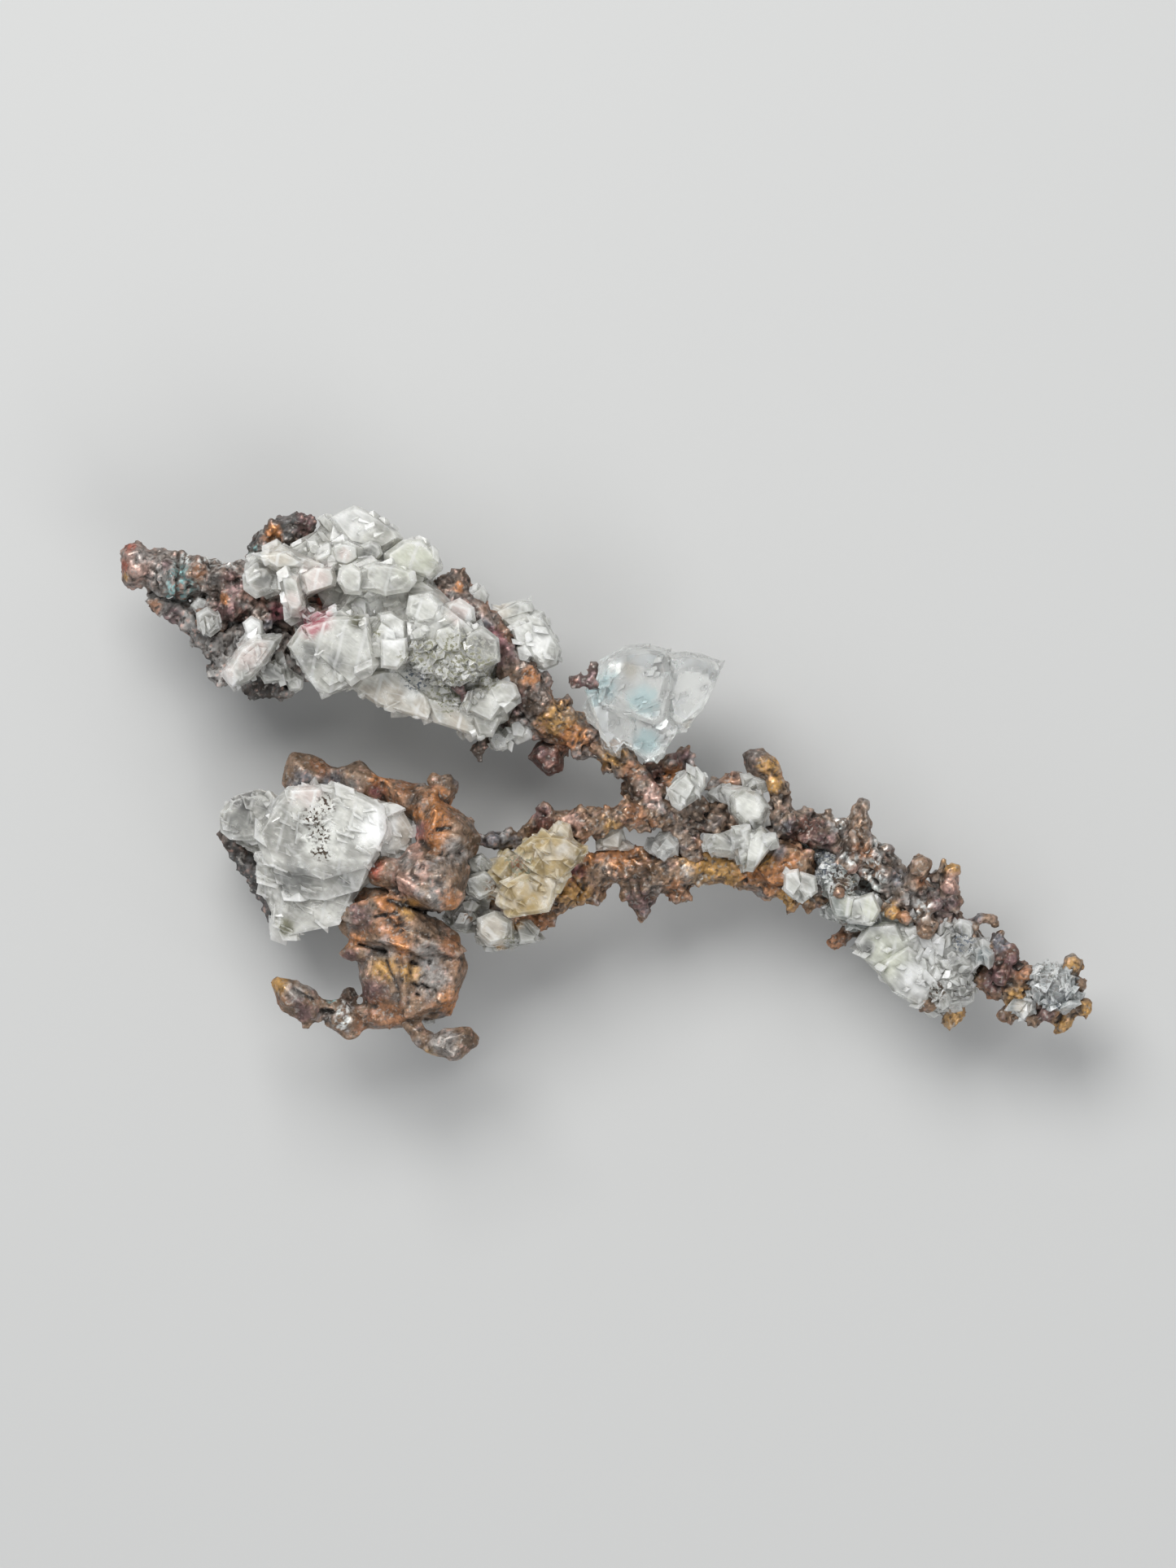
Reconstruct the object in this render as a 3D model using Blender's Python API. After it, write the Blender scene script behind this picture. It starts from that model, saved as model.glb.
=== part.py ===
"""Native copper nugget with calcite: a flat, forked growth of copper on its back, set with calcite crystals.

Run it with: blender --background --python part.py

Lumps are drawn on a sheet in millimetres: X runs right and Y runs down the sheet from its top left corner,
and the third number is a height over the surface that the nugget lies on. place() turns that into the part's
frame: X right, Y up the sheet, Z up from the surface. Every piece is fused from convex lumps: limbs, knobs
and flat-faced crystals.
"""

import math
import random

import bmesh
import bpy
from mathutils import Euler, Matrix, Vector

MM = 0.001
SHEET_CENTRE = (74.5, 96.0)  # the sheet point over the frame's own zero, before the part is centred
GAP = 0.3  # clearance that touching pieces keep
LIMB_POINTS = 6  # points round each end of a limb's stretch
KNOB_POINTS = 8  # points over a knob
POINT_REACH = 1.17  # how much further out than the radius the points go, as their hull is flat between them
LIMB_ROUGH = 0.16  # how far a limb's or knob's points stray from round, as a share of the radius
GEM_ROUGH = 0.12  # how far a crystal's corners stray, as a share of its half width
FLAT_ANGLE = math.radians(4)  # faces closer than this become one
KEEP = 0.468  # share of a united node's triangles that stay
KEEP_STEPS = 12  # tries, each keeping a hundredth more, where the surface would tear
NEAR = 1.0  # lumps further apart than this can't touch once grown by GAP
SEED = 3
GOLDEN = math.pi * (3 - math.sqrt(5))

COPPER = {"color": (0.36, 0.17, 0.08, 1), "metallic": 0.75, "roughness": 0.5}
DARK = {"color": (0.10, 0.10, 0.10, 1), "metallic": 0.3, "roughness": 0.7}
CALCITE = {"color": (0.85, 0.86, 0.84, 1), "metallic": 0.0, "roughness": 0.25}


# --- lumps: each is a list of points in millimetres, whose convex hull is the solid ---


def place(x, y, z):
    return Vector((x - SHEET_CENTRE[0], SHEET_CENTRE[1] - y, z))


def seed_of(*numbers):
    """A random source that depends on a lump's place only, so that it keeps its shape when others change."""
    return random.Random(" ".join(f"{n:.3f}" for n in (SEED, *numbers)))


def ball_points(count, rng):
    """Directions spread evenly over a ball, turned and roughened at random."""
    turn = Euler([rng.uniform(0, math.tau) for _ in range(3)]).to_matrix()
    for i in range(count):
        height = 1 - 2 * (i + 0.5) / count
        reach = math.sqrt(1 - height * height)
        point = Vector((reach * math.cos(i * GOLDEN), reach * math.sin(i * GOLDEN), height))
        yield turn @ point * (POINT_REACH + rng.uniform(-LIMB_ROUGH, LIMB_ROUGH))


def knob(x, y, z, r, long=1.0, heading=0.0):
    """A rounded crystal of radius r, drawn out along its heading in the sheet by the factor long."""
    rng = seed_of(x, y, z, r)
    stretch = Matrix.Rotation(math.radians(heading), 3, "Z") @ Matrix.Diagonal((long, 1, 1))
    return [place(x, y, z) + r * (stretch @ p) for p in ball_points(KNOB_POINTS, rng)]


def limb(*stations):
    """A branch through stations (x, y, z, radius), as one lump for each stretch between two of them."""
    lumps = []
    for start, end in zip(stations, stations[1:]):
        rng = seed_of(*start, *end)
        points = []
        for x, y, z, r in (start, end):
            points += [place(x, y, z) + r * p for p in ball_points(LIMB_POINTS, rng)]
        lumps.append(points)
    return lumps


def gem(outline, z, up, down, table=0.62, base=0.62, lean=(0.0, 0.0)):
    """A crystal with flat faces. The outline is its widest section, at height z. Its front face, the outline
    shrunk to table, is up above that and slopes by lean; its back, shrunk to base, is down below it."""
    rng = seed_of(*outline[0], z)
    corners = [place(x, y, z) for x, y in outline]
    middle = sum(corners, Vector()) / len(corners)
    half = max((c - middle).length for c in corners)
    points = []
    for corner in corners:
        arm = corner - middle
        stray = Vector([rng.uniform(-1, 1) * GEM_ROUGH * half for _ in range(3)])
        front = middle + arm * table + stray
        front.z = z + up + lean[0] * arm.x + lean[1] * arm.y
        back = middle + arm * base - Vector((stray.x, stray.y, 0))
        back.z = z - down
        points += [corner, front, back]
    return points


# --- turning lumps into solids ---


def hull(points, grow=0.0):
    """The convex hull of the points as a bmesh, with every face moved out by grow."""
    shape = bmesh.new()
    for point in points:
        shape.verts.new(point)
    made = bmesh.ops.convex_hull(shape, input=shape.verts)
    inside = {v for v in made["geom_interior"] + made["geom_unused"] if isinstance(v, bmesh.types.BMVert)}
    bmesh.ops.delete(shape, geom=list(inside), context="VERTS")
    bmesh.ops.dissolve_limit(shape, angle_limit=FLAT_ANGLE, verts=shape.verts, edges=shape.edges)
    bmesh.ops.recalc_face_normals(shape, faces=shape.faces)
    if grow:
        shape.normal_update()
        moves = [v.normal * grow * v.calc_shell_factor() for v in shape.verts]
        for vertex, move in zip(shape.verts, moves):
            vertex.co += move
    return shape


def lump_object(points, grow=0.0):
    shape = hull(points, grow)
    mesh = bpy.data.meshes.new("lump")
    shape.to_mesh(mesh)
    shape.free()
    return bpy.data.objects.new("lump", mesh)


def boxes_meet(first, second):
    return all(
        min(p[k] for p in first) - NEAR < max(q[k] for q in second)
        and min(q[k] for q in second) - NEAR < max(p[k] for p in first)
        for k in range(3)
    )


def evaluated(body):
    bpy.context.view_layer.update()
    graph = bpy.context.evaluated_depsgraph_get()
    mesh = bpy.data.meshes.new_from_object(body.evaluated_get(graph))
    body.modifiers.clear()
    return mesh


def combine(body, operation, others):
    """The mesh of body united with the other objects, or cut by them."""
    group = bpy.data.collections.new("others")
    bpy.context.scene.collection.children.link(group)
    for other in others:
        group.objects.link(other)
    join = body.modifiers.new("join", "BOOLEAN")
    join.operation = operation
    join.operand_type = "COLLECTION"
    join.collection = group
    join.solver = "EXACT"
    mesh = evaluated(body)
    for other in others:
        bpy.data.objects.remove(other)
    bpy.data.collections.remove(group)
    body.data = mesh


def shells_of(shape):
    """The shape's faces, as one set for each surface that hangs together along edges."""
    left, shells = set(shape.faces), []
    while left:
        shell, todo = set(), [left.pop()]
        while todo:
            face = todo.pop()
            shell.add(face)
            near = {other for edge in face.edges for other in edge.link_faces} & left
            left -= near
            todo += near
        shells.append(shell)
    return shells


def keep_largest(mesh):
    """Drops the crumbs that a cut leaves beside the main body, and the hollows that lumps close in."""
    shape = bmesh.new()
    shape.from_mesh(mesh)
    shells = shells_of(shape)
    largest = max(shells, key=lambda shell: sum(face.calc_area() for face in shell))
    crumbs = [face for shell in shells if shell is not largest for face in shell]
    bmesh.ops.delete(shape, geom=crumbs, context="FACES")
    bmesh.ops.remove_doubles(shape, verts=shape.verts, dist=GAP / 300)
    bmesh.ops.triangulate(shape, faces=shape.faces)
    pinched = [edge for edge in shape.edges if len(edge.link_faces) > 2]
    bmesh.ops.collapse(shape, edges=pinched)
    bmesh.ops.dissolve_degenerate(shape, dist=GAP / 300, edges=shape.edges)
    bmesh.ops.triangulate(shape, faces=shape.faces)
    shape.to_mesh(mesh)
    shape.free()


def is_closed(mesh):
    """Whether every edge joins two faces, once edges that no face uses are gone."""
    shape = bmesh.new()
    shape.from_mesh(mesh)
    bmesh.ops.delete(shape, geom=[edge for edge in shape.edges if not edge.link_faces], context="EDGES")
    closed = all(len(edge.link_faces) == 2 for edge in shape.edges)
    shape.to_mesh(mesh)
    shape.free()
    return closed


def simplify(body):
    """Collapses the slivers that the unions leave, down to the share KEEP of the triangles, or a little
    above it where that would tear the surface."""
    for step in range(KEEP_STEPS):
        fewer = body.modifiers.new("fewer", "DECIMATE")
        fewer.ratio = KEEP + 0.01 * step
        mesh = evaluated(body)
        if is_closed(mesh):
            break
    body.data = mesh


def level_base(mesh):
    """Cuts off what reaches below the surface that the nugget lies on, with a level face."""
    shape = bmesh.new()
    shape.from_mesh(mesh)
    whole = shape.verts[:] + shape.edges[:] + shape.faces[:]
    cut = bmesh.ops.bisect_plane(
        shape, geom=whole, plane_co=(0, 0, 0), plane_no=(0, 0, 1), dist=GAP / 300, clear_inner=True
    )
    rim = [part for part in cut["geom_cut"] if isinstance(part, bmesh.types.BMEdge)]
    if rim:
        bmesh.ops.holes_fill(shape, edges=rim, sides=0)
    shape.to_mesh(mesh)
    shape.free()


def finish_of(name, look):
    material = bpy.data.materials.new(name)
    material.use_nodes = True
    shader = material.node_tree.nodes["Principled BSDF"]
    shader.inputs["Base Color"].default_value = look["color"]
    shader.inputs["Metallic"].default_value = look["metallic"]
    shader.inputs["Roughness"].default_value = look["roughness"]
    return material


def fuse(name, lumps, keep_clear, look, pits=()):
    """One named node: its lumps united, pits taken out, and cut back by GAP from lumps to keep clear of."""
    body = lump_object(lumps[0])
    body.name = name
    bpy.context.scene.collection.objects.link(body)
    combine(body, "UNION", [lump_object(points) for points in lumps[1:]])
    cutters = [lump_object(points) for points in pits]
    near = [other for other in keep_clear if any(boxes_meet(other, own) for own in lumps)]
    cutters += [lump_object(points, GAP) for points in near]
    if cutters:
        combine(body, "DIFFERENCE", cutters)
    keep_largest(body.data)
    simplify(body)
    level_base(body.data)
    body.data.transform(Matrix.Scale(MM, 4))
    body.data.materials.clear()
    body.data.materials.append(finish_of(name, look))
    return body


# --- copper: one growth, split at its main forks ---


def copper_upper_arm():
    """The long arm from the left tip through the crystals to the fork, with the dark crystal under it."""
    tip = [(14.9, 67.9), (15.6, 67.0), (17.1, 66.8), (18.8, 68.1), (19.1, 69.3), (18.6, 71.3),
           (17.2, 72.0), (15.3, 72.1)]
    hanging = [(65.0, 92.8), (65.7, 91.7), (66.8, 91.0), (68.8, 91.2), (69.5, 92.9), (69.0, 94.8),
               (67.4, 95.4), (65.2, 93.5)]
    lumps = [gem(tip, 14, 2.3, 2.3, table=0.55)]
    lumps += limb((17.5, 69.5, 14, 1.7), (20.7, 70.6, 14, 2.7), (24.7, 70.9, 14.5, 2.5),
                  (28.3, 71.2, 15, 2.4))
    lumps += limb((28.3, 71.2, 15, 2.4), (33, 73, 14, 2.7), (38, 76, 13.5, 3.0), (44, 77, 13.5, 3.0),
                  (49, 76, 14, 2.8))
    lumps += limb((49, 76, 14, 2.8), (53.5, 73.6, 16.5, 2.2), (56.4, 74.2, 18.5, 1.9), (59.8, 76.6, 19, 1.8))
    lumps += limb((59.8, 76.6, 19, 1.8), (62.4, 79.8, 19, 1.1), (63.6, 82.8, 18, 2.3), (65.6, 86.0, 17, 2.2))
    lumps += limb((65.6, 86.0, 17, 2.2), (67.8, 88.4, 16.5, 2.3), (70.2, 89.6, 16, 1.9),
                  (72.6, 91.2, 15.5, 2.1))
    lumps += limb((56.3, 73, 18, 1.4), (56.4, 70.9, 17.5, 1.0))
    lumps += limb((62.3, 78.6, 18.5, 0.8), (64.1, 79.1, 18.5, 0.35))
    lumps += limb((69.6, 90.6, 15, 1.2), (68.4, 92.0, 14, 1.4))
    lumps += [gem(hanging, 14, 2.1, 2.1, table=0.5, base=0.5)]
    lumps += [knob(22.4, 72.4, 13.9, 1.4), knob(28.9, 74.2, 16, 2.4), knob(26.6, 75.4, 14.5, 2.3)]
    lumps += [knob(24.3, 69.9, 16.8, 1.4), knob(20.9, 71.4, 16.4, 1.7), knob(32.0, 76.2, 16.5, 1.9)]
    lumps += [knob(38.2, 76.2, 17.8, 2.0), knob(54.6, 72.2, 18.2, 1.1), knob(57.8, 72.9, 17.4, 0.9)]
    lumps += [knob(66.7, 84.0, 17.6, 1.2), knob(64.0, 88.4, 15.6, 1.6), knob(66.4, 90.0, 15.4, 1.0)]
    lumps += [knob(69.9, 88.0, 17.4, 0.9), knob(71.6, 92.6, 14.6, 0.9)]
    lumps += limb((66.0, 87.6, 15.8, 1.5), (63.6, 88.8, 14.6, 1.0), (60.6, 89.8, 13.6, 0.6),
                  (58.8, 92.0, 13.4, 0.75), (58.7, 93.0, 13.4, 0.35))
    return lumps


def copper_fin():
    """The dark spur that stands up behind the crystals near the left tip."""
    lumps = limb((31.5, 70.2, 12.5, 1.6), (32.4, 67.0, 12, 1.3), (34.2, 65.1, 12, 1.4),
                 (37.0, 64.6, 12, 1.3))
    lumps += [knob(37.9, 64.4, 12.2, 1.0), knob(35.2, 66.4, 12.4, 1.3)]
    return lumps


def copper_fork():
    """The knuckle where the arms part."""
    lumps = limb((72.6, 91.2, 15.5, 1.9), (75.6, 92.6, 15.5, 1.6), (77.8, 94.8, 15.8, 1.5),
                 (80.2, 98.2, 16, 1.7))
    lumps += limb((80.2, 98.2, 16, 1.7), (82.4, 96.2, 15, 1.2), (83.6, 93.6, 15, 1.2))
    lumps += [knob(80.4, 95.2, 13.2, 2.0)]
    lumps += [knob(77.7, 97.1, 14.6, 1.2), knob(84.2, 92.6, 15.6, 0.9), knob(82.4, 93.9, 16.4, 1.0)]
    lumps += [knob(76.4, 94.7, 16.9, 1.0), knob(84.4, 94.2, 14.6, 0.9), knob(74.9, 94.2, 14.2, 1.1)]
    lumps += limb((80.2, 98.2, 16, 1.7), (81.0, 100.6, 16.4, 1.6))
    return lumps


def copper_bridge():
    """The thin branch that runs left from the fork, over the lower arm."""
    lumps = limb((80.2, 100.4, 16.4, 1.3), (77.4, 100.2, 17, 1.3), (74.6, 100.6, 17, 1.2),
                 (72.2, 101.2, 17, 1.6))
    lumps += limb((72.2, 101.2, 17, 1.6), (69.4, 101.2, 16.6, 1.2), (66.4, 101.5, 15.6, 1.1),
                  (63.6, 103.2, 14.4, 0.8))
    lumps += limb((63.6, 103.2, 14.4, 0.8), (60.9, 103.4, 14, 1.0))
    lumps += limb((68.4, 100.6, 16.4, 0.6), (66.5, 99.4, 16.4, 0.6))
    lumps += limb((61.8, 103.4, 14.2, 0.6), (62.5, 102.1, 14.2, 0.4))
    lumps += [knob(73.8, 102.0, 16.6, 1.1), knob(71.0, 102.8, 16.4, 1.2), knob(76.8, 99.4, 17.8, 0.8),
              knob(60.2, 103.2, 14.8, 0.9)]
    lumps += [knob(71.2, 99.9, 17.6, 0.7), knob(74.6, 99.9, 17.8, 0.7)]
    return lumps


def copper_lower_arm():
    """The stout lower branch, with the spiky lump that hangs under it and the broad boss at its right."""
    boss = [(92.2, 106.6), (94.5, 104.4), (95.9, 103.2), (97.8, 103.6), (99.9, 105.4), (100.1, 107.8),
            (98.4, 108.6), (94.5, 109.0)]
    lumps = limb((56.4, 112.0, 11, 1.6), (60.5, 111.8, 12, 2.0), (64.8, 112.6, 12.6, 2.0),
                 (68.2, 110.4, 13, 1.8))
    lumps += limb((68.2, 110.4, 13, 1.8), (71.2, 107.8, 13, 2.8), (74.6, 106.3, 13, 2.3),
                  (78.4, 106.6, 13, 2.4))
    lumps += limb((78.4, 106.6, 13, 2.4), (82.6, 107.4, 13, 2.6), (86.0, 106.5, 13, 1.9),
                  (89.4, 107.0, 13, 1.6))
    lumps += limb((89.4, 107.0, 13, 1.6), (92.4, 108.0, 13, 1.5), (96.5, 108.2, 13, 2.4))
    lumps += [gem(boss, 14.2, 3.2, 3.0, table=0.7)]
    lumps += limb((78.4, 108.2, 12.4, 2.2), (78.8, 110.8, 11.6, 1.5), (78.9, 112.6, 11.6, 0.6))
    lumps += [knob(79.9, 110.2, 11.8, 0.9), knob(77.2, 109.8, 12.6, 1.0), knob(83.4, 109.5, 12.8, 1.5),
              knob(72.9, 109.6, 13, 1.4)]
    lumps += [knob(66.6, 113.2, 13.2, 1.2), knob(69.6, 109.0, 15.2, 1.5), knob(82.0, 105.6, 14.6, 1.3)]
    lumps += [knob(94.2, 109.7, 12.8, 0.9), knob(97.2, 110.9, 12.8, 0.9), knob(99.6, 110.8, 12.8, 1.0),
              knob(102.8, 109.8, 13.4, 1.0)]
    lumps += limb((96.5, 108.2, 13, 2.4), (99.4, 109.4, 12.8, 1.3), (102.2, 110.6, 12.8, 1.0))
    return lumps


def copper_plate_upper():
    """The upper leaf of the folded copper plate on the left, with its two beaks and the knob on top."""
    crown = [(53.0, 97.2), (55.4, 99.2), (58.1, 101.4), (59.2, 102.8), (58.6, 105.2), (56.0, 106.8),
             (52.6, 106.0), (51.0, 103.0), (51.4, 99.8)]
    cheek = [(50.4, 104.0), (53.0, 102.4), (57.0, 104.6), (57.9, 107.0), (56.7, 109.2), (56.4, 111.0),
             (54.0, 112.0), (50.8, 111.6), (48.6, 110.2), (47.8, 107.0)]
    beak = [(45.1, 106.9), (46.2, 106.2), (47.2, 105.2), (49.4, 105.6), (50.2, 108.6), (47.6, 109.0),
            (45.7, 108.3)]
    knuckle = [(53.1, 95.9), (54.2, 95.6), (55.1, 95.3), (56.2, 96.6), (55.4, 99.2), (53.6, 98.6)]
    neck = [(51.2, 96.6), (53.6, 97.0), (54.6, 99.4), (53.4, 102.6), (51.2, 102.2), (50.4, 99.4)]
    lumps = [gem(crown, 17.4, 3.6, 3.6, table=0.45, lean=(-0.15, 0.1)),
             gem(cheek, 18.4, 4.2, 4.2, table=0.5, lean=(0.05, -0.15))]
    lumps += [gem(beak, 19.4, 1.7, 2.2, table=0.5), gem(knuckle, 15.4, 1.6, 1.7),
              gem(neck, 16.4, 2.6, 2.6, table=0.4)]
    lumps += limb((50.0, 108.2, 21.6, 1.5), (53.2, 109.8, 22.2, 1.6), (56.0, 110.2, 20.8, 1.4))
    lumps += [knob(52.8, 107.2, 22.2, 1.6, 1.4, -20), knob(55.6, 103.2, 20.2, 1.5),
              knob(53.6, 95.9, 16.2, 0.8), knob(55.1, 95.9, 16.2, 0.8)]
    return lumps


def copper_prong():
    """The spur that runs left from the top of the plate, behind the large calcite."""
    outer = [(34.6, 96.3), (35.4, 94.9), (35.5, 93.1), (36.1, 92.6), (38.2, 93.0), (41.8, 94.8),
             (42.2, 96.6), (38.8, 97.2), (35.4, 97.2)]
    middle = [(40.6, 94.6), (43.7, 93.3), (44.4, 93.4), (46.9, 95.5), (48.2, 97.0), (47.8, 99.0),
              (44.4, 98.0), (41.6, 97.0)]
    inner = [(46.2, 95.4), (49.6, 95.8), (52.2, 96.4), (53.0, 98.2), (52.2, 100.6), (50.4, 101.0),
             (48.0, 99.2)]
    return [gem(outer, 13, 1.7, 2.0, table=0.45), gem(middle, 13.6, 2.0, 2.2, table=0.4),
            gem(inner, 14.6, 2.4, 2.4, table=0.45)]


def copper_plate_lower():
    """The lower leaf of the plate: a broad band, the web below it, and the rough hollow in its face."""
    band = [(44.8, 109.0), (47.3, 109.2), (49.4, 111.4), (52.6, 113.4), (56.4, 114.5), (57.1, 118.0),
            (54.0, 118.8), (48.8, 117.4), (43.2, 115.6), (41.9, 113.6), (42.2, 112.0)]
    web = [(43.6, 115.2), (49.0, 116.0), (50.8, 119.0), (50.6, 122.8), (48.2, 125.6), (45.0, 124.6),
           (45.3, 120.5), (44.5, 118.2)]
    ear = [(41.6, 117.1), (43.4, 115.4), (46.4, 115.6), (46.0, 118.4), (42.8, 117.9)]
    cheek = [(49.6, 115.6), (56.8, 116.4), (57.5, 118.9), (56.3, 121.8), (55.4, 124.7), (52.0, 124.6),
             (49.6, 125.4), (48.8, 120.0)]
    root = [(43.6, 123.6), (46.6, 122.2), (50.4, 122.6), (51.4, 126.0), (48.7, 126.0), (46.0, 126.4),
            (43.2, 126.2)]
    lumps = [gem(band, 16.6, 3.4, 3.2, table=0.5, lean=(0, -0.12)),
             gem(web, 15.8, 2.8, 2.6, table=0.35, lean=(0.1, 0))]
    lumps += [gem(ear, 16.6, 1.5, 1.5, table=0.4), gem(cheek, 15.6, 2.9, 3.0, table=0.72),
              gem(root, 15.2, 2.0, 2.0, table=0.4)]
    lumps += limb((43.4, 112.4, 18.6, 1.3), (47.4, 111.2, 19.6, 1.5), (52.6, 115.4, 19.4, 1.3),
                  (56.0, 116.6, 17.8, 1.2))
    lumps += limb((48.8, 117.4, 17.8, 1.1), (49.6, 121.0, 18.2, 1.0), (49.0, 124.6, 16.8, 1.1))
    return lumps


def plate_pits():
    return [knob(52.0, 120.4, 18.8, 1.1), knob(53.6, 119.2, 18.8, 0.9), knob(53.4, 121.6, 18.8, 1.0),
            knob(51.4, 122.2, 18.6, 0.8)]


def copper_tail():
    """The curled spur at the lower left, with the dark tuft on it."""
    outer = [(33.2, 120.6), (34.0, 119.9), (35.7, 120.7), (38.4, 121.6), (40.3, 123.1), (39.4, 125.8),
             (36.9, 125.5), (34.6, 124.2), (34.4, 122.2)]
    inner = [(38.8, 122.8), (41.2, 122.8), (43.9, 123.6), (45.8, 125.2), (44.4, 126.8), (43.1, 127.4),
             (42.6, 126.5), (40.0, 126.0)]
    lumps = [gem(outer, 16.6, 1.9, 1.9, table=0.4), gem(inner, 15.8, 1.7, 1.8, table=0.4)]
    lumps += [knob(43.0, 122.3, 15.2, 1.1), knob(41.6, 124.9, 17.2, 1.1), knob(37.7, 125.8, 16.2, 0.7)]
    return lumps


def copper_foot():
    """The paddle on a thin stalk under the plate."""
    paddle = [(52.4, 127.8), (54.7, 126.4), (57.6, 126.1), (58.9, 127.5), (58.2, 128.6), (56.1, 130.2),
              (53.9, 129.7), (52.0, 128.9)]
    lumps = limb((50.2, 125.2, 15.8, 1.1), (51.4, 127.2, 17.2, 0.9), (53.2, 128.2, 18.2, 1.1))
    return lumps + [gem(paddle, 18.6, 1.6, 1.6, table=0.5)]


def copper_right_arm():
    """The right arm, from the fork to the clear crystals, with its knobs and spurs."""
    cap = [(91.1, 92.8), (92.1, 92.1), (93.6, 92.0), (95.2, 93.2), (96.1, 95.2), (94.3, 95.5),
           (92.8, 95.5), (91.8, 94.6)]
    lumps = limb((82.2, 100.2, 15.4, 1.6), (86.0, 100.4, 15, 1.7), (90.0, 100.6, 14.6, 2.0),
                 (94.0, 101.0, 14.2, 2.1))
    lumps += limb((94.0, 101.0, 14.2, 2.1), (98.4, 101.6, 14, 2.0), (102.4, 103.0, 14, 2.0),
                  (106.4, 105.4, 13.8, 2.2))
    lumps += limb((106.4, 105.4, 13.8, 2.2), (110.0, 108.6, 13.2, 2.2), (114.0, 111.4, 12.8, 2.2),
                  (118.0, 114.8, 12.2, 1.8))
    lumps += limb((118.0, 114.8, 12.2, 1.8), (120.4, 117.6, 12, 1.5))
    lumps += limb((96.2, 100.0, 14.8, 1.3), (95.6, 97.2, 15.4, 0.9), (94.8, 95.0, 15.8, 1.0))
    lumps += [gem(cap, 16, 1.7, 1.7, table=0.5)]
    lumps += limb((96.4, 99.4, 15, 0.8), (96.4, 96.4, 15, 0.45))
    lumps += limb((83.4, 101.6, 14.8, 1.4), (84.6, 103.6, 14.4, 1.5), (85.0, 105.0, 14.2, 1.2))
    lumps += limb((106.2, 104.6, 14.6, 1.2), (105.6, 101.8, 15, 0.9), (105.6, 99.7, 15, 1.0))
    lumps += limb((104.0, 105.0, 16.2, 1.0), (104.7, 102.8, 17.0, 0.45))
    lumps += limb((112.0, 109.4, 15, 1.0), (113.0, 106.6, 16.6, 1.6))
    lumps += limb((119.6, 115.6, 13.2, 0.6), (119.3, 113.8, 14.2, 0.5), (120.3, 112.7, 14.8, 0.6),
                  (122.0, 113.0, 14.8, 0.6))
    lumps += limb((114.6, 111.2, 14.4, 1.1), (116.4, 109.4, 15.6, 1.1), (116.6, 107.8, 16, 1.3))
    lumps += limb((116.2, 107.4, 16, 0.7), (115.9, 106.0, 16, 0.3))
    lumps += [knob(88.9, 98.1, 15.6, 1.2), knob(85.6, 99.3, 16.6, 1.4), knob(88.1, 101.2, 16.4, 1.5),
              knob(90.4, 95.8, 14.6, 1.1)]
    lumps += limb((90.2, 99.2, 14.4, 1.3), (90.4, 96.0, 14.4, 1.0), (87.6, 96.8, 14.4, 0.8))
    lumps += [knob(100.2, 102.6, 16, 1.5), knob(96.6, 101.4, 16, 1.2), knob(103.5, 106.4, 16, 1.2),
              knob(107.4, 105.4, 15.8, 1.0)]
    lumps += [knob(108.6, 107.6, 15.8, 1.1), knob(110.8, 110.4, 15.4, 0.9), knob(114.0, 113.4, 14.6, 1.5)]
    lumps += [knob(117.1, 111.0, 14.6, 1.1), knob(98.8, 100.2, 14.6, 1.0), knob(101.6, 100.6, 14.4, 0.8),
              knob(103.6, 101.4, 14.4, 0.9)]
    lumps += [knob(109.0, 106.0, 14.4, 0.8), knob(114.9, 107.9, 15.4, 0.7)]
    lumps += limb((106.4, 105.4, 13.2, 1.8), (106.8, 109.0, 9.4, 1.5), (106.0, 112.6, 8.4, 1.2),
                  (103.8, 115.0, 10.4, 0.7))
    lumps += limb((103.8, 115.0, 10.4, 0.7), (102.5, 115.9, 11, 0.8))
    return lumps


def copper_tip():
    """The far right end: the dark red cluster and the rough cluster beyond it."""
    lumps = limb((120.8, 118.4, 12, 1.5), (123.2, 119.2, 12.2, 2.0), (126.0, 120.6, 12, 1.4),
                 (129.2, 121.4, 12, 1.9))
    lumps += limb((129.2, 121.4, 12, 1.9), (131.6, 123.4, 11.8, 1.4))
    lumps += limb((127.6, 122.6, 11.6, 1.5), (125.0, 124.0, 11.4, 1.4))
    lumps += limb((122.6, 118, 12.8, 1.4), (122.4, 116.4, 13.2, 1.1), (122.4, 115.2, 13.2, 0.35))
    lumps += [knob(124.1, 117.0, 13, 1.1), knob(121.2, 120.6, 12.6, 1.2), knob(122.3, 121.8, 12.2, 1.1),
              knob(124.4, 121.6, 13, 1.2)]
    lumps += [knob(126.0, 119.6, 13.2, 1.1), knob(123.4, 119.4, 14.2, 1.1),
              knob(123.8, 124.6, 11.2, 0.9), knob(127.2, 125.2, 11.4, 1.0)]
    lumps += limb((130.2, 121.8, 12, 1.3), (131.3, 119.9, 12.6, 0.9), (131.8, 118.3, 13, 0.9))
    lumps += limb((131.0, 122.2, 12, 1.1), (132.9, 121.0, 12.6, 0.7))
    lumps += limb((131.4, 123.6, 11.8, 1.3), (133.2, 123.8, 12.2, 0.9))
    lumps += limb((131.4, 124.0, 11.8, 1.2), (130.2, 126.4, 11.4, 0.6))
    lumps += [knob(129.4, 124.4, 11.8, 1.2), knob(125.2, 122.8, 12.4, 1.1)]
    return lumps


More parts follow.
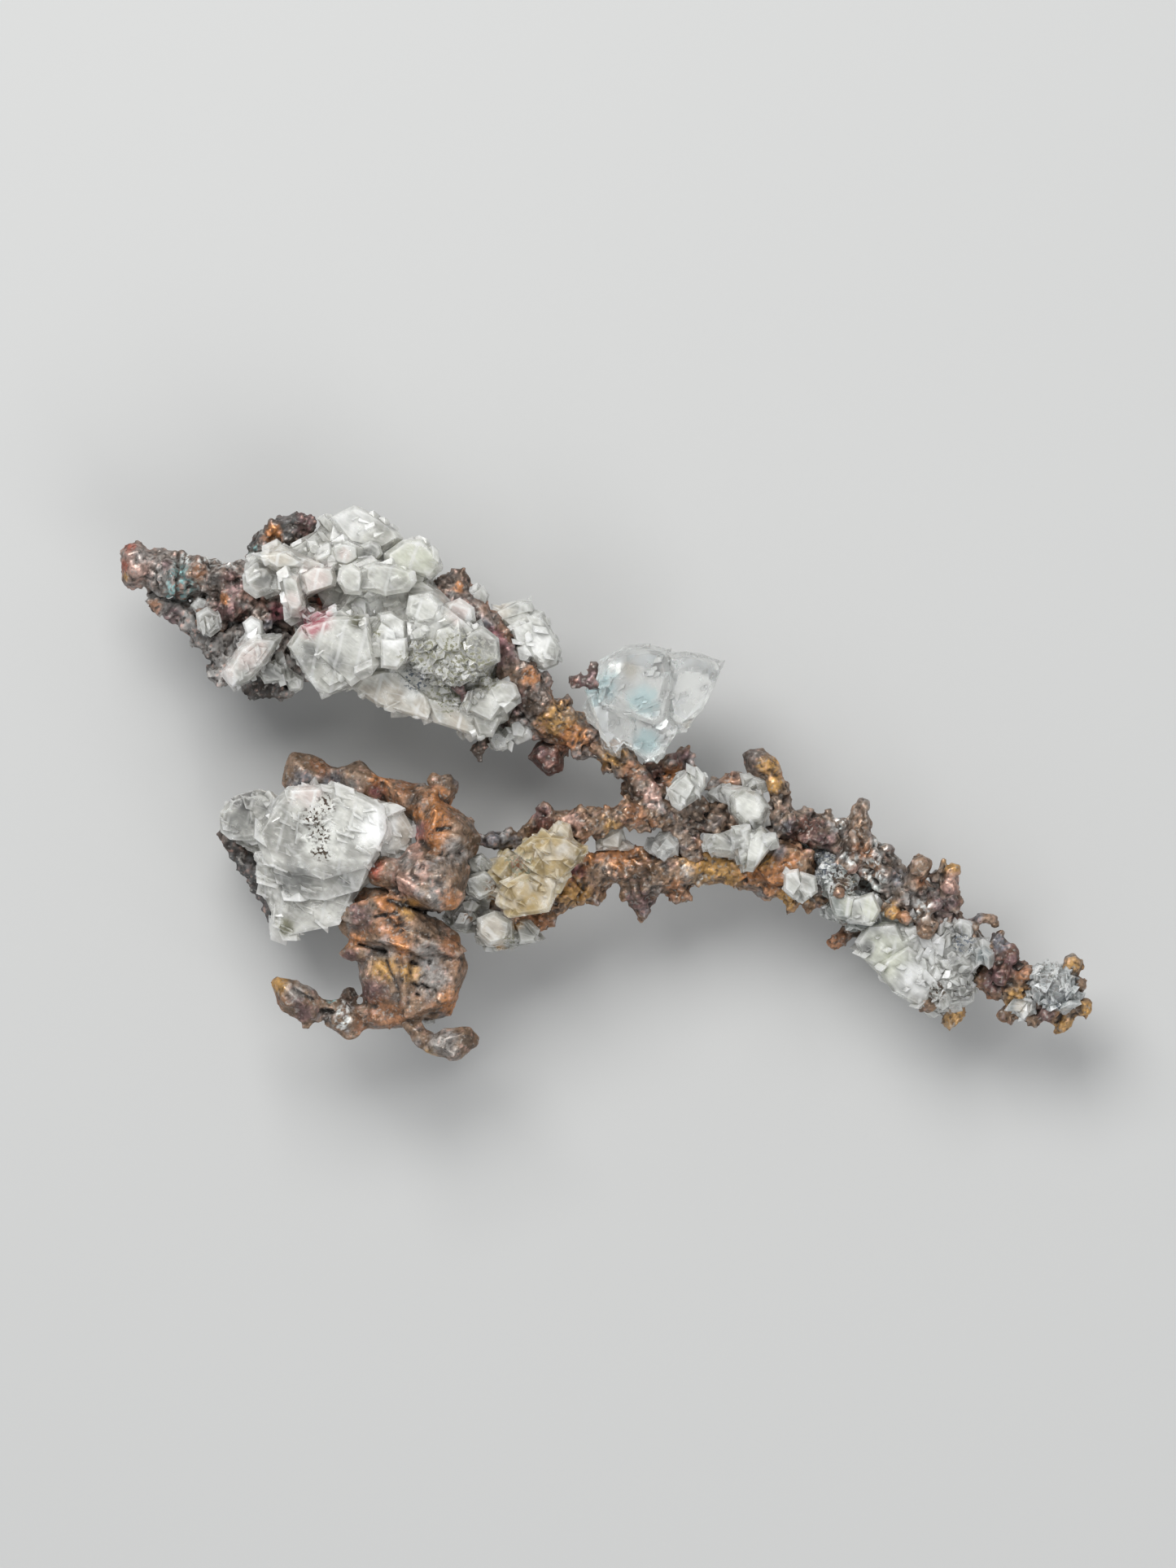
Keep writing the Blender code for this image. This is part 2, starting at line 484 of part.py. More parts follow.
def copper_sprout():
    """The little three-armed growth on the left side of the clear crystal over the fork."""
    lumps = limb((73.6, 84.0, 19.6, 0.8), (72.2, 83.9, 19.8, 0.6), (70.5, 83.8, 19.6, 0.8))
    lumps += limb((73.2, 83.8, 19.8, 0.7), (72.8, 82.0, 19.8, 0.5))
    return lumps + limb((73.4, 84.0, 19.8, 0.7), (73.8, 85.2, 19.6, 0.5))


def copper_spur_left():
    """A nub of copper that comes out of the lower clear crystals."""
    return [knob(113.9, 123.2, 13.6, 1.2), knob(114.3, 122.4, 12.8, 1.0)]


def copper_spur_right():
    """The second such nub, a short stalk that leans right."""
    return limb((116.8, 123.4, 12, 1.0), (117.6, 124.4, 12, 0.9), (116.6, 125.7, 11.8, 0.7))


# --- dark matrix ---


def matrix_root():
    """Dark grey matrix under the crystals near the left tip."""
    lumps = [knob(19.4, 74.0, 12.6, 1.2), knob(21.4, 75.0, 12.6, 1.5), knob(23.4, 76.4, 12.8, 1.6),
             knob(25.0, 78.0, 12.8, 1.6)]
    lumps += [knob(26.5, 79.4, 14, 2.0), knob(28.2, 82.3, 13.6, 2.3), knob(31.4, 82.4, 13, 2.6),
              knob(31.2, 84.3, 13.6, 1.5)]
    lumps += [knob(34.0, 84.7, 13.6, 1.1), knob(35.1, 85.1, 13.6, 0.8), knob(35.4, 82.4, 12.4, 2.2),
              knob(30.2, 79.0, 14, 2.5)]
    lumps += [knob(24.3, 77.2, 13.4, 1.1), knob(34.2, 78.8, 12.6, 2.3), knob(24.2, 75.2, 12.2, 1.3)]
    lumps += [knob(29.0, 76.9, 12.8, 1.8)]
    return lumps


def matrix_rim():
    """The dark crust along the lower left edge of the large calcite."""
    lumps = limb((27.6, 102.4, 10, 0.8), (29.4, 104.8, 10, 1.0), (31.4, 107.4, 10, 1.1),
                 (33.0, 110.2, 9.6, 1.1))
    return lumps + limb((33.0, 110.2, 9.6, 1.1), (34.2, 113.0, 9.4, 1.1), (35.0, 114.8, 9.4, 0.7))


# --- calcite: crystals that touch are one solid ---


def calcite_upper_mass():
    """The mass of crystals round the upper arm. Its back rests on the surface."""
    fan = [(31.0, 68.1), (34.3, 66.9), (36.0, 67.4), (41.4, 69.8), (41.5, 72.2), (38.1, 73.4),
           (36.9, 72.0), (34.3, 70.3)]
    left = [(30.0, 68.6), (32.1, 67.9), (34.5, 70.5), (34.8, 72.3), (33.4, 73.8), (31.0, 72.2)]
    finger = [(34.3, 70.2), (36.5, 70.5), (37.9, 74.8), (37.6, 76.2), (36.7, 76.6), (35.9, 76.0),
              (35.0, 73.6)]
    tooth_a = [(39.0, 63.4), (40.2, 63.1), (41.7, 63.9), (42.3, 66.0), (41.0, 66.4), (39.6, 64.8)]
    tooth_b = [(37.6, 66.3), (39.0, 66.3), (40.2, 67.4), (39.8, 69.4), (38.6, 69.4), (37.9, 67.6)]
    nape = [(35.4, 66.8), (39.2, 65.0), (41.2, 66.4), (40.4, 69.4), (36.4, 69.2)]
    peak = [(40.3, 63.6), (43.6, 62.1), (46.4, 63.5), (49.5, 66.0), (49.8, 67.4), (47.2, 68.8),
            (42.7, 67.4), (41.0, 66.2)]
    shoulder = [(46.8, 67.2), (49.8, 66.5), (52.0, 66.5), (53.8, 68.2), (54.2, 69.3), (53.8, 70.6),
                (52.6, 71.8), (49.4, 71.2), (47.0, 69.6)]
    brow = [(39.4, 66.6), (42.0, 66.0), (47.0, 67.5), (48.0, 70.2), (43.0, 71.4), (39.8, 70.6)]
    chest = [(41.7, 70.8), (42.4, 69.6), (45.0, 68.5), (49.6, 69.5), (49.9, 72.0), (48.1, 73.4),
             (44.1, 73.6), (42.5, 72.8)]
    window = [(35.5, 79.6), (37.0, 76.8), (38.3, 75.4), (43.1, 73.6), (45.7, 75.3), (46.6, 79.0),
              (46.4, 82.0), (43.1, 84.6), (41.0, 85.3), (39.3, 84.9), (37.6, 82.7)]
    wedge = [(46.3, 75.4), (48.6, 76.0), (50.3, 78.9), (50.7, 80.0), (50.3, 81.4), (48.3, 82.4),
             (46.4, 82.0), (46.0, 77.5)]
    keel = [(42.8, 84.6), (44.0, 82.6), (47.5, 81.5), (51.0, 82.5), (54.0, 85.0), (56.0, 87.5),
            (55.5, 89.3), (53.5, 88.1), (50.0, 87.6), (47.0, 86.9), (45.3, 86.1)]
    stern = [(52.0, 84.0), (56.0, 84.5), (60.0, 88.0), (61.2, 90.4), (59.0, 91.3), (57.2, 90.0),
             (55.0, 89.0), (53.0, 87.0)]
    sugar = [(49.0, 72.2), (53.0, 71.5), (56.4, 74.0), (59.8, 77.0), (61.6, 79.3), (61.6, 80.6),
             (60.5, 83.0), (57.0, 85.0), (52.5, 84.5), (50.2, 81.0), (48.4, 76.0)]
    stub = [(59.5, 84.2), (60.9, 83.7), (63.2, 84.6), (63.9, 85.6), (63.4, 86.6), (62.3, 86.9), (60.2, 86.1)]
    flank = [(57.0, 84.5), (60.5, 83.5), (63.0, 86.5), (62.6, 88.6), (60.8, 89.4), (57.0, 88.5),
             (55.5, 86.5)]
    bight = [(57.0, 80.0), (61.0, 80.4), (62.6, 83.4), (61.6, 86.0), (57.6, 84.0)]
    back_left = [(36.0, 75.0), (41.0, 71.0), (47.0, 73.0), (48.6, 79.0), (45.0, 83.6), (38.6, 81.8)]
    back_right = [(46.6, 70.0), (51.6, 69.4), (55.4, 73.0), (56.0, 79.0), (50.0, 80.4), (46.0, 76.0)]
    back_low = [(47.8, 78.6), (55.0, 78.4), (58.0, 83.0), (56.0, 87.0), (50.6, 85.4)]
    back_high = [(37.0, 68.0), (42.0, 65.6), (47.6, 67.0), (48.4, 71.8), (42.4, 74.0), (37.6, 72.6)]
    return [
        gem(window, 18, 7.6, 8, table=0.74, lean=(0.04, -0.06)),
        gem(brow, 17.6, 4.6, 6, table=0.6),
        gem(peak, 15, 5.4, 6, table=0.5, lean=(0.1, 0.2)),
        gem(shoulder, 16, 5.2, 6, table=0.55, lean=(-0.1, 0.15)),
        gem(chest, 20, 5.4, 6, table=0.6, lean=(-0.1, -0.1)),
        gem(fan, 18, 4.2, 4.4, table=0.62, lean=(0.12, 0.1)),
        gem(left, 17, 3.4, 3.4, table=0.5),
        gem(finger, 20, 3.4, 3.2, table=0.5),
        gem(tooth_a, 15.6, 2.4, 2.4, table=0.3),
        gem(tooth_b, 16.6, 2.4, 2.6, table=0.3),
        gem(nape, 14.4, 2.6, 3.4, table=0.55),
        gem(wedge, 21, 5.6, 5, table=0.6, lean=(0.15, 0.1)),
        gem(keel, 14, 6.4, 8, table=0.6, lean=(0.05, 0.2)),
        gem(stern, 14.4, 5.8, 6, table=0.55, lean=(0.05, 0.15)),
        gem(sugar, 18, 7.2, 7, table=0.7, lean=(-0.06, 0.04)),
        gem(stub, 20, 1.9, 2.2, table=0.5),
        gem(flank, 16.6, 5.4, 5, table=0.55),
        gem(bight, 15, 2.5, 4, table=0.6),
        gem(back_left, 7, 6, 7.5, table=0.9, base=0.72),
        gem(back_right, 9, 6, 6.4, base=0.5),
        gem(back_low, 9, 6, 5.8, base=0.5),
        gem(back_high, 10.6, 6, 5.4, base=0.5),
    ]


def calcite_root_cluster():
    """The pinkish prism and its small neighbours over the dark matrix."""
    prism = [(27.2, 83.0), (28.3, 81.0), (29.8, 78.9), (32.8, 77.9), (34.5, 79.2), (33.5, 80.6),
             (31.2, 83.4), (29.1, 85.0), (28.3, 84.6)]
    sail = [(29.6, 78.6), (30.6, 76.6), (32.7, 75.5), (32.5, 78.6), (30.7, 79.6)]
    lumps = [gem(prism, 18, 3.0, 3.2, table=0.6, lean=(0.1, 0.1)), gem(sail, 18, 1.6, 2.2, table=0.4)]
    return lumps + [knob(33.7, 82.6, 16.4, 1.8), knob(36.4, 83.9, 15.2, 1.2),
                    knob(33.9, 78.7, 18.4, 0.9), knob(35.2, 83.4, 15.4, 1.0)]


def calcite_root_chip():
    chip = [(24.2, 75.8), (25.7, 74.8), (27.3, 76.0), (27.1, 77.5), (26.0, 78.1), (25.0, 77.5)]
    return [gem(chip, 17.2, 1.8, 2.4, table=0.5)]


def calcite_perched():
    return [gem([(57.6, 72.4), (59.0, 71.9), (60.0, 72.6), (60.1, 74.5), (59.2, 75.2), (57.8, 73.8)],
                18.2, 1.2, 1.5, table=0.5)]


def calcite_beside_ribbon():
    """The white pair in the bend of the upper arm."""
    flap = [(60.2, 75.7), (61.7, 74.3), (63.8, 73.8), (65.4, 74.0), (65.6, 75.6), (62.6, 77.2), (61.0, 76.6)]
    body = [(62.0, 76.2), (65.2, 75.0), (66.8, 75.1), (67.8, 77.3), (69.0, 80.0), (68.6, 81.7),
            (67.0, 82.4), (64.6, 81.8), (63.0, 80.2), (62.4, 78.0)]
    return [gem(flap, 17, 2.2, 2.4, table=0.5), gem(body, 16.4, 3.6, 4.2, table=0.6, lean=(-0.1, 0.1))]


def calcite_pair():
    lower = [(60.0, 91.3), (61.4, 89.9), (62.4, 90.3), (63.1, 91.5), (61.5, 92.4), (60.4, 92.1)]
    upper = [(61.8, 89.8), (63.2, 88.4), (64.8, 89.4), (64.5, 90.5), (63.2, 91.6), (61.8, 91.4)]
    return [gem(lower, 15.2, 1.5, 1.2, table=0.5), gem(upper, 15.6, 1.4, 1.3, table=0.5)]


def calcite_fork_large():
    """The clear block over the fork."""
    main = [(72.4, 84.4), (73.6, 81.2), (76.9, 79.4), (79.3, 79.2), (82.0, 79.8), (83.6, 82.0),
            (84.5, 86.0), (83.2, 89.0), (81.4, 90.4), (78.8, 88.8), (75.6, 87.2), (72.6, 87.0)]
    right = [(81.3, 80.2), (85.9, 80.3), (88.4, 81.2), (88.6, 82.0), (87.8, 84.2), (86.3, 86.8),
             (84.3, 90.0), (82.3, 90.2), (80.8, 86.0)]
    lower = [(71.6, 87.0), (72.6, 84.8), (76.5, 86.2), (79.8, 88.2), (81.8, 90.2), (81.7, 92.7),
             (80.7, 93.9), (79.4, 93.2), (76.8, 91.9), (73.9, 90.3), (72.2, 88.8)]
    chip = [(73.6, 89.8), (75.2, 89.6), (76.8, 91.4), (76.3, 93.3), (75.3, 93.1), (73.8, 91.8)]
    return [
        gem(main, 16.8, 6.2, 4.6, table=0.66, lean=(-0.12, 0.08)),
        gem(right, 15.6, 4.8, 4.0, table=0.6, lean=(-0.05, 0.1)),
        gem(lower, 15.6, 4.4, 3.8, table=0.6, lean=(0.05, 0.12)),
        gem(chip, 17.4, 1.8, 2.2, table=0.5),
    ]


def calcite_fork_small():
    chip = [(81.9, 97.4), (83.1, 95.9), (84.8, 94.2), (86.6, 95.3), (86.7, 96.5), (86.0, 97.9),
            (83.5, 99.7), (82.5, 99.0)]
    return [gem(chip, 18, 2.2, 2.4, table=0.62, lean=(-0.1, 0))]


def calcite_yellow():
    """The yellowish block in the crook of the lower arm."""
    dome = [(63.8, 103.9), (65.6, 102.6), (67.6, 102.3), (69.7, 103.0), (72.1, 104.2), (71.7, 105.2),
            (69.6, 107.2), (66.0, 107.6), (64.0, 106.5)]
    skirt = [(62.0, 108.2), (64.2, 106.4), (69.6, 106.6), (69.0, 108.6), (67.6, 111.5), (66.3, 112.2),
             (64.2, 111.5), (62.8, 109.8)]
    ear = [(67.6, 101.7), (68.6, 100.8), (70.2, 101.2), (70.6, 102.6), (69.0, 103.4), (67.8, 103.0)]
    side = [(60.2, 106.0), (62.5, 104.3), (64.4, 106.0), (63.8, 109.2), (61.0, 110.2), (59.8, 108.0)]
    return [
        gem(dome, 18, 4.6, 4.4, table=0.55),
        gem(skirt, 17.6, 4.0, 4.4, table=0.55, lean=(0, 0.15)),
        gem(ear, 18.6, 1.6, 2.0, table=0.5),
        gem(side, 15.4, 3.0, 3.2, table=0.5),
    ]


def calcite_lower_left():
    """Broken crystals between the plate and the lower arm."""
    spike = [(56.6, 104.6), (59.0, 105.6), (60.8, 106.2), (60.4, 108.2), (57.6, 107.6)]
    blade = [(57.2, 108.6), (61.6, 107.0), (61.2, 108.8), (60.2, 111.0), (57.6, 110.4), (56.4, 110.2)]
    block = [(58.5, 114.6), (59.6, 111.8), (61.7, 111.8), (63.4, 113.0), (63.6, 115.0), (64.1, 116.3),
             (60.9, 116.7), (58.5, 116.0)]
    corner = [(62.8, 114.4), (65.3, 113.3), (66.3, 114.4), (66.3, 115.3), (65.3, 116.0), (63.4, 115.9)]
    shade = [(54.2, 112.6), (56.6, 110.2), (59.0, 110.8), (59.6, 113.6), (57.2, 114.8), (55.0, 114.2)]
    return [
        gem(block, 13.6, 3.6, 3.0, table=0.6),
        gem(spike, 14, 2.6, 2.6, table=0.3),
        gem(blade, 14.6, 2.8, 3.0, table=0.4),
        gem(corner, 13.6, 2.0, 2.2, table=0.5),
        gem(shade, 13, 2.6, 2.4, table=0.5),
        gem([(57.4, 106.6), (60.4, 106.4), (60.6, 112.4), (57.6, 112.2)], 12.4, 2.0, 2.4, table=0.6),
    ]


def calcite_under_bridge():
    return [gem([(73.0, 102.4), (76.5, 101.4), (77.1, 103.4), (76.8, 104.6), (73.2, 104.8)], 14.6, 1.9,
                2.0, table=0.5)]


def calcite_gap_side():
    chip = [(79.9, 103.9), (81.0, 102.2), (82.6, 102.0), (83.8, 103.3), (83.5, 105.6), (81.1, 106.3),
            (80.1, 105.4)]
    return [gem(chip, 15.0, 2.4, 2.2, table=0.5)]


def calcite_heart():
    """White crystals where the right arm starts."""
    low_left = [(86.3, 103.0), (87.1, 101.6), (88.9, 101.8), (89.4, 103.3), (90.2, 104.4), (90.1, 105.5),
                (88.2, 105.2), (86.3, 104.4)]
    top = [(89.5, 98.6), (90.2, 96.8), (92.2, 97.0), (93.2, 98.3), (94.6, 99.9), (94.4, 101.2),
           (93.0, 102.2), (90.7, 101.4), (89.6, 99.8)]
    kite = [(89.4, 102.0), (93.1, 101.2), (95.4, 102.8), (93.5, 104.9), (91.4, 107.3), (90.6, 106.3),
            (89.8, 104.0)]
    crest = [(86.8, 97.4), (88.3, 96.3), (90.4, 96.5), (90.6, 98.0), (89.0, 99.4), (87.4, 98.8)]
    return [
        gem(kite, 17.5, 3.0, 3.4, table=0.55, lean=(0.14, 0.1)),
        gem(top, 17, 3.0, 3.4, table=0.55, lean=(-0.1, -0.1)),
        gem(low_left, 16.2, 2.4, 2.8, table=0.5),
        gem(crest, 15.8, 1.6, 1.8, table=0.5),
    ]


def calcite_stem():
    return [gem([(90.6, 94.8), (93.3, 95.4), (94.4, 95.8), (94.2, 96.6), (92.4, 96.9), (90.8, 96.2)],
                15.4, 1.1, 1.1, table=0.5)]


def calcite_white_low():
    """The white pair under the boss of the lower arm."""
    left = [(96.6, 107.8), (97.5, 106.7), (98.6, 108.4), (98.9, 110.4), (97.8, 110.8), (96.7, 109.9)]
    right = [(98.0, 108.6), (100.2, 107.9), (100.4, 109.2), (98.8, 110.9), (97.9, 110.5)]
    return [gem(left, 17.2, 1.6, 2.4, table=0.5), gem(right, 17.2, 1.9, 2.4, table=0.5)]


def calcite_collar():
    """Pale crystals under the middle of the right arm."""
    collar = [(100.4, 105.0), (103.0, 104.6), (105.0, 107.5), (104.4, 111.2), (102.6, 111.4), (100.6, 108.6)]
    hem = [(100.6, 111.0), (102.4, 109.6), (105.4, 111.0), (106.0, 113.6), (103.4, 113.6), (101.2, 112.4)]
    bib = [(101.8, 110.2), (104.4, 109.6), (107.7, 110.0), (108.2, 111.6), (107.6, 114.6),
           (104.4, 114.0), (102.2, 112.6)]
    shade = [(96.0, 102.6), (101.0, 102.4), (104.0, 105.6), (103.4, 109.6), (100.4, 108.6)]
    return [
        gem(bib, 14, 3.0, 4.2, table=0.6),
        gem(shade, 12.4, 1.8, 2.6, table=0.6),
        gem(collar, 15.2, 2.2, 3.4, table=0.6),
        gem(hem, 12.8, 2.2, 2.4, table=0.6),
    ]


def calcite_right_mass():
    """Pale crystals along the right arm, with the broad cleavage block whose back rests on the surface."""
    slab = [(105.1, 115.8), (106.4, 114.4), (109.2, 113.8), (111.8, 114.8), (112.8, 116.8),
            (113.2, 121.4), (112.9, 123.2), (111.0, 122.8), (109.8, 121.6), (106.6, 118.3)]
    upper = [(108.0, 113.0), (112.0, 112.6), (116.0, 113.0), (119.4, 113.6), (121.4, 116.0),
             (120.6, 118.8), (117.0, 119.6), (112.0, 119.0)]
    lower = [(112.0, 117.0), (117.0, 117.0), (120.2, 119.3), (119.9, 121.5), (117.5, 123.6),
             (115.0, 125.0), (112.8, 123.6)]
    ridge = [(108.4, 108.6), (112.5, 109.0), (115.5, 110.5), (117.0, 113.4), (112.0, 114.6), (108.0, 112.4)]
    foot = [(106.4, 115.2), (112.6, 114.8), (114.8, 119.8), (113.6, 122.4), (110.8, 122.2), (107.4, 118.6)]
    beads = [(113.6, 120.2), (115.6, 118.8), (117.4, 120.6), (118.6, 118.8), (115.8, 122.4),
             (117.8, 122.2), (119.0, 116.8), (116.4, 116.2)]
    beads += [(120.6, 117.4), (114.2, 117.2), (113.6, 115.4)]
    return [
        gem(slab, 9, 5.6, 6, table=0.68, lean=(0.15, 0.1)),
        gem(foot, 4.4, 5, 4.9, table=0.95, base=0.8),
        gem(upper, 12.4, 2.6, 4, table=0.6),
        gem(lower, 11.4, 3.4, 5, table=0.6, lean=(-0.05, -0.05)),
        gem(ridge, 13.2, 1.8, 3, table=0.6),
    ] + [knob(x, y, 14.6, 1.1) for x, y in beads]


def calcite_end():
    body = [(126.6, 119.0), (129.0, 118.2), (131.6, 119.0), (132.8, 121.5), (132.4, 123.8),
            (129.0, 124.2), (126.4, 122.2)]
    return [gem(body, 13.4, 2.2, 2.6, table=0.6), knob(128.4, 120.6, 15, 1.0), knob(130.6, 121.6, 15, 1.1)]


def calcite_end_chip():
    return [gem([(124.6, 123.2), (126.6, 122.6), (127.2, 124.6), (125.2, 125.4)], 13.2, 1.2, 1.8, table=0.5)]


def calcite_plate_speck():
    return [gem([(51.0, 125.2), (52.6, 124.4), (53.8, 124.4), (53.5, 125.8), (52.2, 126.3)], 15.2, 1.1,
                1.1, table=0.5)]


def calcite_large_left():
    """The large white block beside the plate. Its back rests on the surface."""
    face = [(33.4, 101.6), (34.8, 98.4), (36.4, 96.0), (41.6, 96.3), (47.0, 98.2), (49.1, 99.0),
            (50.8, 102.3), (49.6, 105.2), (46.5, 106.4), (44.5, 107.4), (39.0, 107.4), (34.6, 105.6)]
    skirt = [(31.4, 103.4), (36.0, 102.8), (44.6, 105.0), (44.7, 108.9), (42.5, 111.7), (41.9, 113.2),
             (38.2, 114.1), (35.2, 114.7), (33.4, 111.2), (31.3, 107.2)]
    corner = [(27.3, 99.9), (28.6, 98.2), (31.9, 96.9), (34.3, 97.8), (36.0, 100.0), (35.0, 104.2),
              (30.4, 104.6), (27.8, 102.0)]
    heel = [(34.0, 113.0), (36.4, 112.8), (37.2, 114.3), (35.3, 115.4), (34.3, 114.7)]
    back = [(33.6, 101.4), (39.0, 99.4), (45.2, 101.6), (45.6, 106.6), (40.4, 110.4), (34.6, 108.4)]
    return [
        gem(face, 14, 8.4, 6, table=0.6, lean=(-0.06, 0.05)),
        gem(skirt, 12, 7.0, 6, table=0.55, lean=(0, 0.2)),
        gem(corner, 12, 5.6, 5, table=0.6, lean=(0.1, 0.05)),
        gem(heel, 11.3, 2.0, 2.0, table=0.5),
        gem(back, 7, 5, 7.5, table=0.95, base=0.74),
    ]


# In order: each node keeps clear of all those above it.
PIECES = (
    (copper_upper_arm, COPPER),
    (copper_fork, COPPER),
    (copper_right_arm, COPPER),
    (copper_lower_arm, COPPER),
    (copper_bridge, COPPER),
    (copper_fin, DARK),
    (copper_plate_upper, COPPER),
    (copper_plate_lower, COPPER),
    (copper_prong, COPPER),
    (copper_tail, COPPER),
    (copper_foot, COPPER),
    (copper_tip, COPPER),
    (copper_sprout, COPPER),
    (copper_spur_left, COPPER),
    (copper_spur_right, COPPER),
    (matrix_root, DARK),
    (matrix_rim, DARK),
    (calcite_root_cluster, CALCITE),
    (calcite_root_chip, CALCITE),
    (calcite_upper_mass, CALCITE),
    (calcite_perched, CALCITE),
    (calcite_beside_ribbon, CALCITE),
    (calcite_pair, CALCITE),
    (calcite_fork_large, CALCITE),
    (calcite_fork_small, CALCITE),
    (calcite_yellow, CALCITE),
    (calcite_lower_left, CALCITE),
    (calcite_under_bridge, CALCITE),
    (calcite_gap_side, CALCITE),
    (calcite_heart, CALCITE),
    (calcite_stem, CALCITE),
    (calcite_white_low, CALCITE),
    (calcite_collar, CALCITE),
    (calcite_right_mass, CALCITE),
    (calcite_end, CALCITE),
    (calcite_end_chip, CALCITE),
    (calcite_plate_speck, CALCITE),
    (calcite_large_left, CALCITE),
)


def centre_on_base(bodies):
    """Moves all the pieces together, so that the origin is under the middle of the whole, on the surface."""
    points = [vertex.co for body in bodies for vertex in body.data.vertices]
    low = Vector([min(p[k] for p in points) for k in range(3)])
    high = Vector([max(p[k] for p in points) for k in range(3)])
    shift = Vector((-(low.x + high.x) / 2, -(low.y + high.y) / 2, -low.z))
    for body in bodies:
        body.data.transform(Matrix.Translation(shift))
        body.data.update()


def main():
    for old in list(bpy.data.objects):
        bpy.data.objects.remove(old)
    earlier, bodies = [], []
    for grow, look in PIECES:
        lumps = grow()
        pits = plate_pits() if grow is copper_plate_lower else ()
        bodies.append(fuse(grow.__name__, lumps, earlier, look, pits))
        earlier += lumps
    centre_on_base(bodies)


main()
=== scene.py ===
"""Looks of the native copper nugget: crystalline copper, clear and milky calcite, dark matrix.

Details are placed on the same sheet as the solids: X right and Y down in millimetres, and Z the height
over the floor.
"""

import math
import random

import bmesh
import bpy
import numpy as np
from mathutils import Matrix, Vector
from mathutils.bvhtree import BVHTree


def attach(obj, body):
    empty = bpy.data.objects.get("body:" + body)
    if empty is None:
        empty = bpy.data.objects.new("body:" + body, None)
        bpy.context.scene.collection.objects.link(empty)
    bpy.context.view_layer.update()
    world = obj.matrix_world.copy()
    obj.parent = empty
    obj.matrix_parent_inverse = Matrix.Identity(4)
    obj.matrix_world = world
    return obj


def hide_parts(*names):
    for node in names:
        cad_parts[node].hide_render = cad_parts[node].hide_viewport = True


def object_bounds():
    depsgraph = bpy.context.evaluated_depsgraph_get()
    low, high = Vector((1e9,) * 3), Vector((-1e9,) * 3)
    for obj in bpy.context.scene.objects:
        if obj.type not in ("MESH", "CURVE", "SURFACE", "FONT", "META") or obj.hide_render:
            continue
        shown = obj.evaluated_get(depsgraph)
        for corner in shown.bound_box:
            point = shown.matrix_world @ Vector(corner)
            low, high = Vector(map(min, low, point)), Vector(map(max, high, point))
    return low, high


MM = 0.001
SHEET_LEFT, SHEET_TOP = 14.9, 62.1  # the sheet's coordinates of the solids' left and top edges
GAP = 0.3 * MM  # what touching solids leave between them
EDGE_ROOM = 0.5 * MM  # how far pieces may reach past the solids' box
OVER_ALL = 60  # a height in millimetres over everything
USUAL_HEIGHT = 13.0  # taken where no solid lies below a place, in millimetres
LATTICE = 32  # how many random values a side the noise repeats after
# The crease measure drives the painted shade in creases and the painted highlights on edges.
CREASE_RINGS = 4  # how many rings of neighbours a crease is measured against
CREASE = 0.1 * MM  # the depth at which a crease counts as full
SPLITS = 7  # the most often an edge is halved
CALCITE_SKIN = 0.3  # the voxels in millimetres that close the gaps between crystals
SHARP = math.radians(12)  # crystal edges over this angle stay sharp
CALCITE_IOR = 1.49

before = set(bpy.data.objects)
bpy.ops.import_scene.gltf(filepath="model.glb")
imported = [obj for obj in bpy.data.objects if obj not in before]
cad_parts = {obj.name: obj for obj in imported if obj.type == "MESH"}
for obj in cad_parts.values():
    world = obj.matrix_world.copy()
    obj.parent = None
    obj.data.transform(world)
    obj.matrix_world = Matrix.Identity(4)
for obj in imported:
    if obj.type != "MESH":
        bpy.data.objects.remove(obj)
SOLID_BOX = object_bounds()
LOW, HIGH = (Vector(corner) for corner in SOLID_BOX)


def place(x, y, z):
    """The point at a place on the sheet and a height, all in millimetres."""
    return Vector((LOW.x + (x - SHEET_LEFT) * MM, HIGH.y - (y - SHEET_TOP) * MM, z * MM))


def sheet_of(points):
    """The sheet coordinates of an array of points, as one array of X and one of Y."""
    return (points[:, 0] - LOW.x) / MM + SHEET_LEFT, (HIGH.y - points[:, 1]) / MM + SHEET_TOP


# Colours of the copper's tarnish and of the shade painted in its creases, of the crystals, and of what
# shows in them.
RUST = (0.24, 0.110, 0.052)
ORANGE = (0.345, 0.140, 0.045)
GOLD = (0.365, 0.205, 0.060)
BROWN = (0.175, 0.116, 0.076)
UMBER = (0.066, 0.046, 0.032)
PURPLE = (0.115, 0.068, 0.070)
MAGENTA = (0.25, 0.088, 0.11)
ROSE = (0.34, 0.21, 0.17)
RED = (0.27, 0.060, 0.034)
WINE = (0.065, 0.022, 0.018)
IRON_GREY = (0.066, 0.066, 0.064)
STEEL = (0.20, 0.195, 0.185)
SLATE = (0.115, 0.127, 0.145)
VERDIGRIS = (0.15, 0.28, 0.28)
FROST = (0.55, 0.58, 0.56)
BLACK = (0.014, 0.012, 0.011)

WHITE = (0.86, 0.86, 0.83)
MILK = (0.69, 0.69, 0.64)
PALE = (0.75, 0.745, 0.68)
FAINT = (0.52, 0.515, 0.46)
SMOKE = (0.43, 0.43, 0.405)
BEIGE = (0.60, 0.555, 0.48)
BLUSH = (0.68, 0.60, 0.56)
STRAW = (0.60, 0.455, 0.22)
GREENISH = (0.73, 0.74, 0.63)
ICE_BLUE = (0.60, 0.80, 0.82)
ROSE_THROUGH = (0.42, 0.13, 0.16)
OLIVE_GREY = (0.22, 0.215, 0.15)


# --- meshes ---


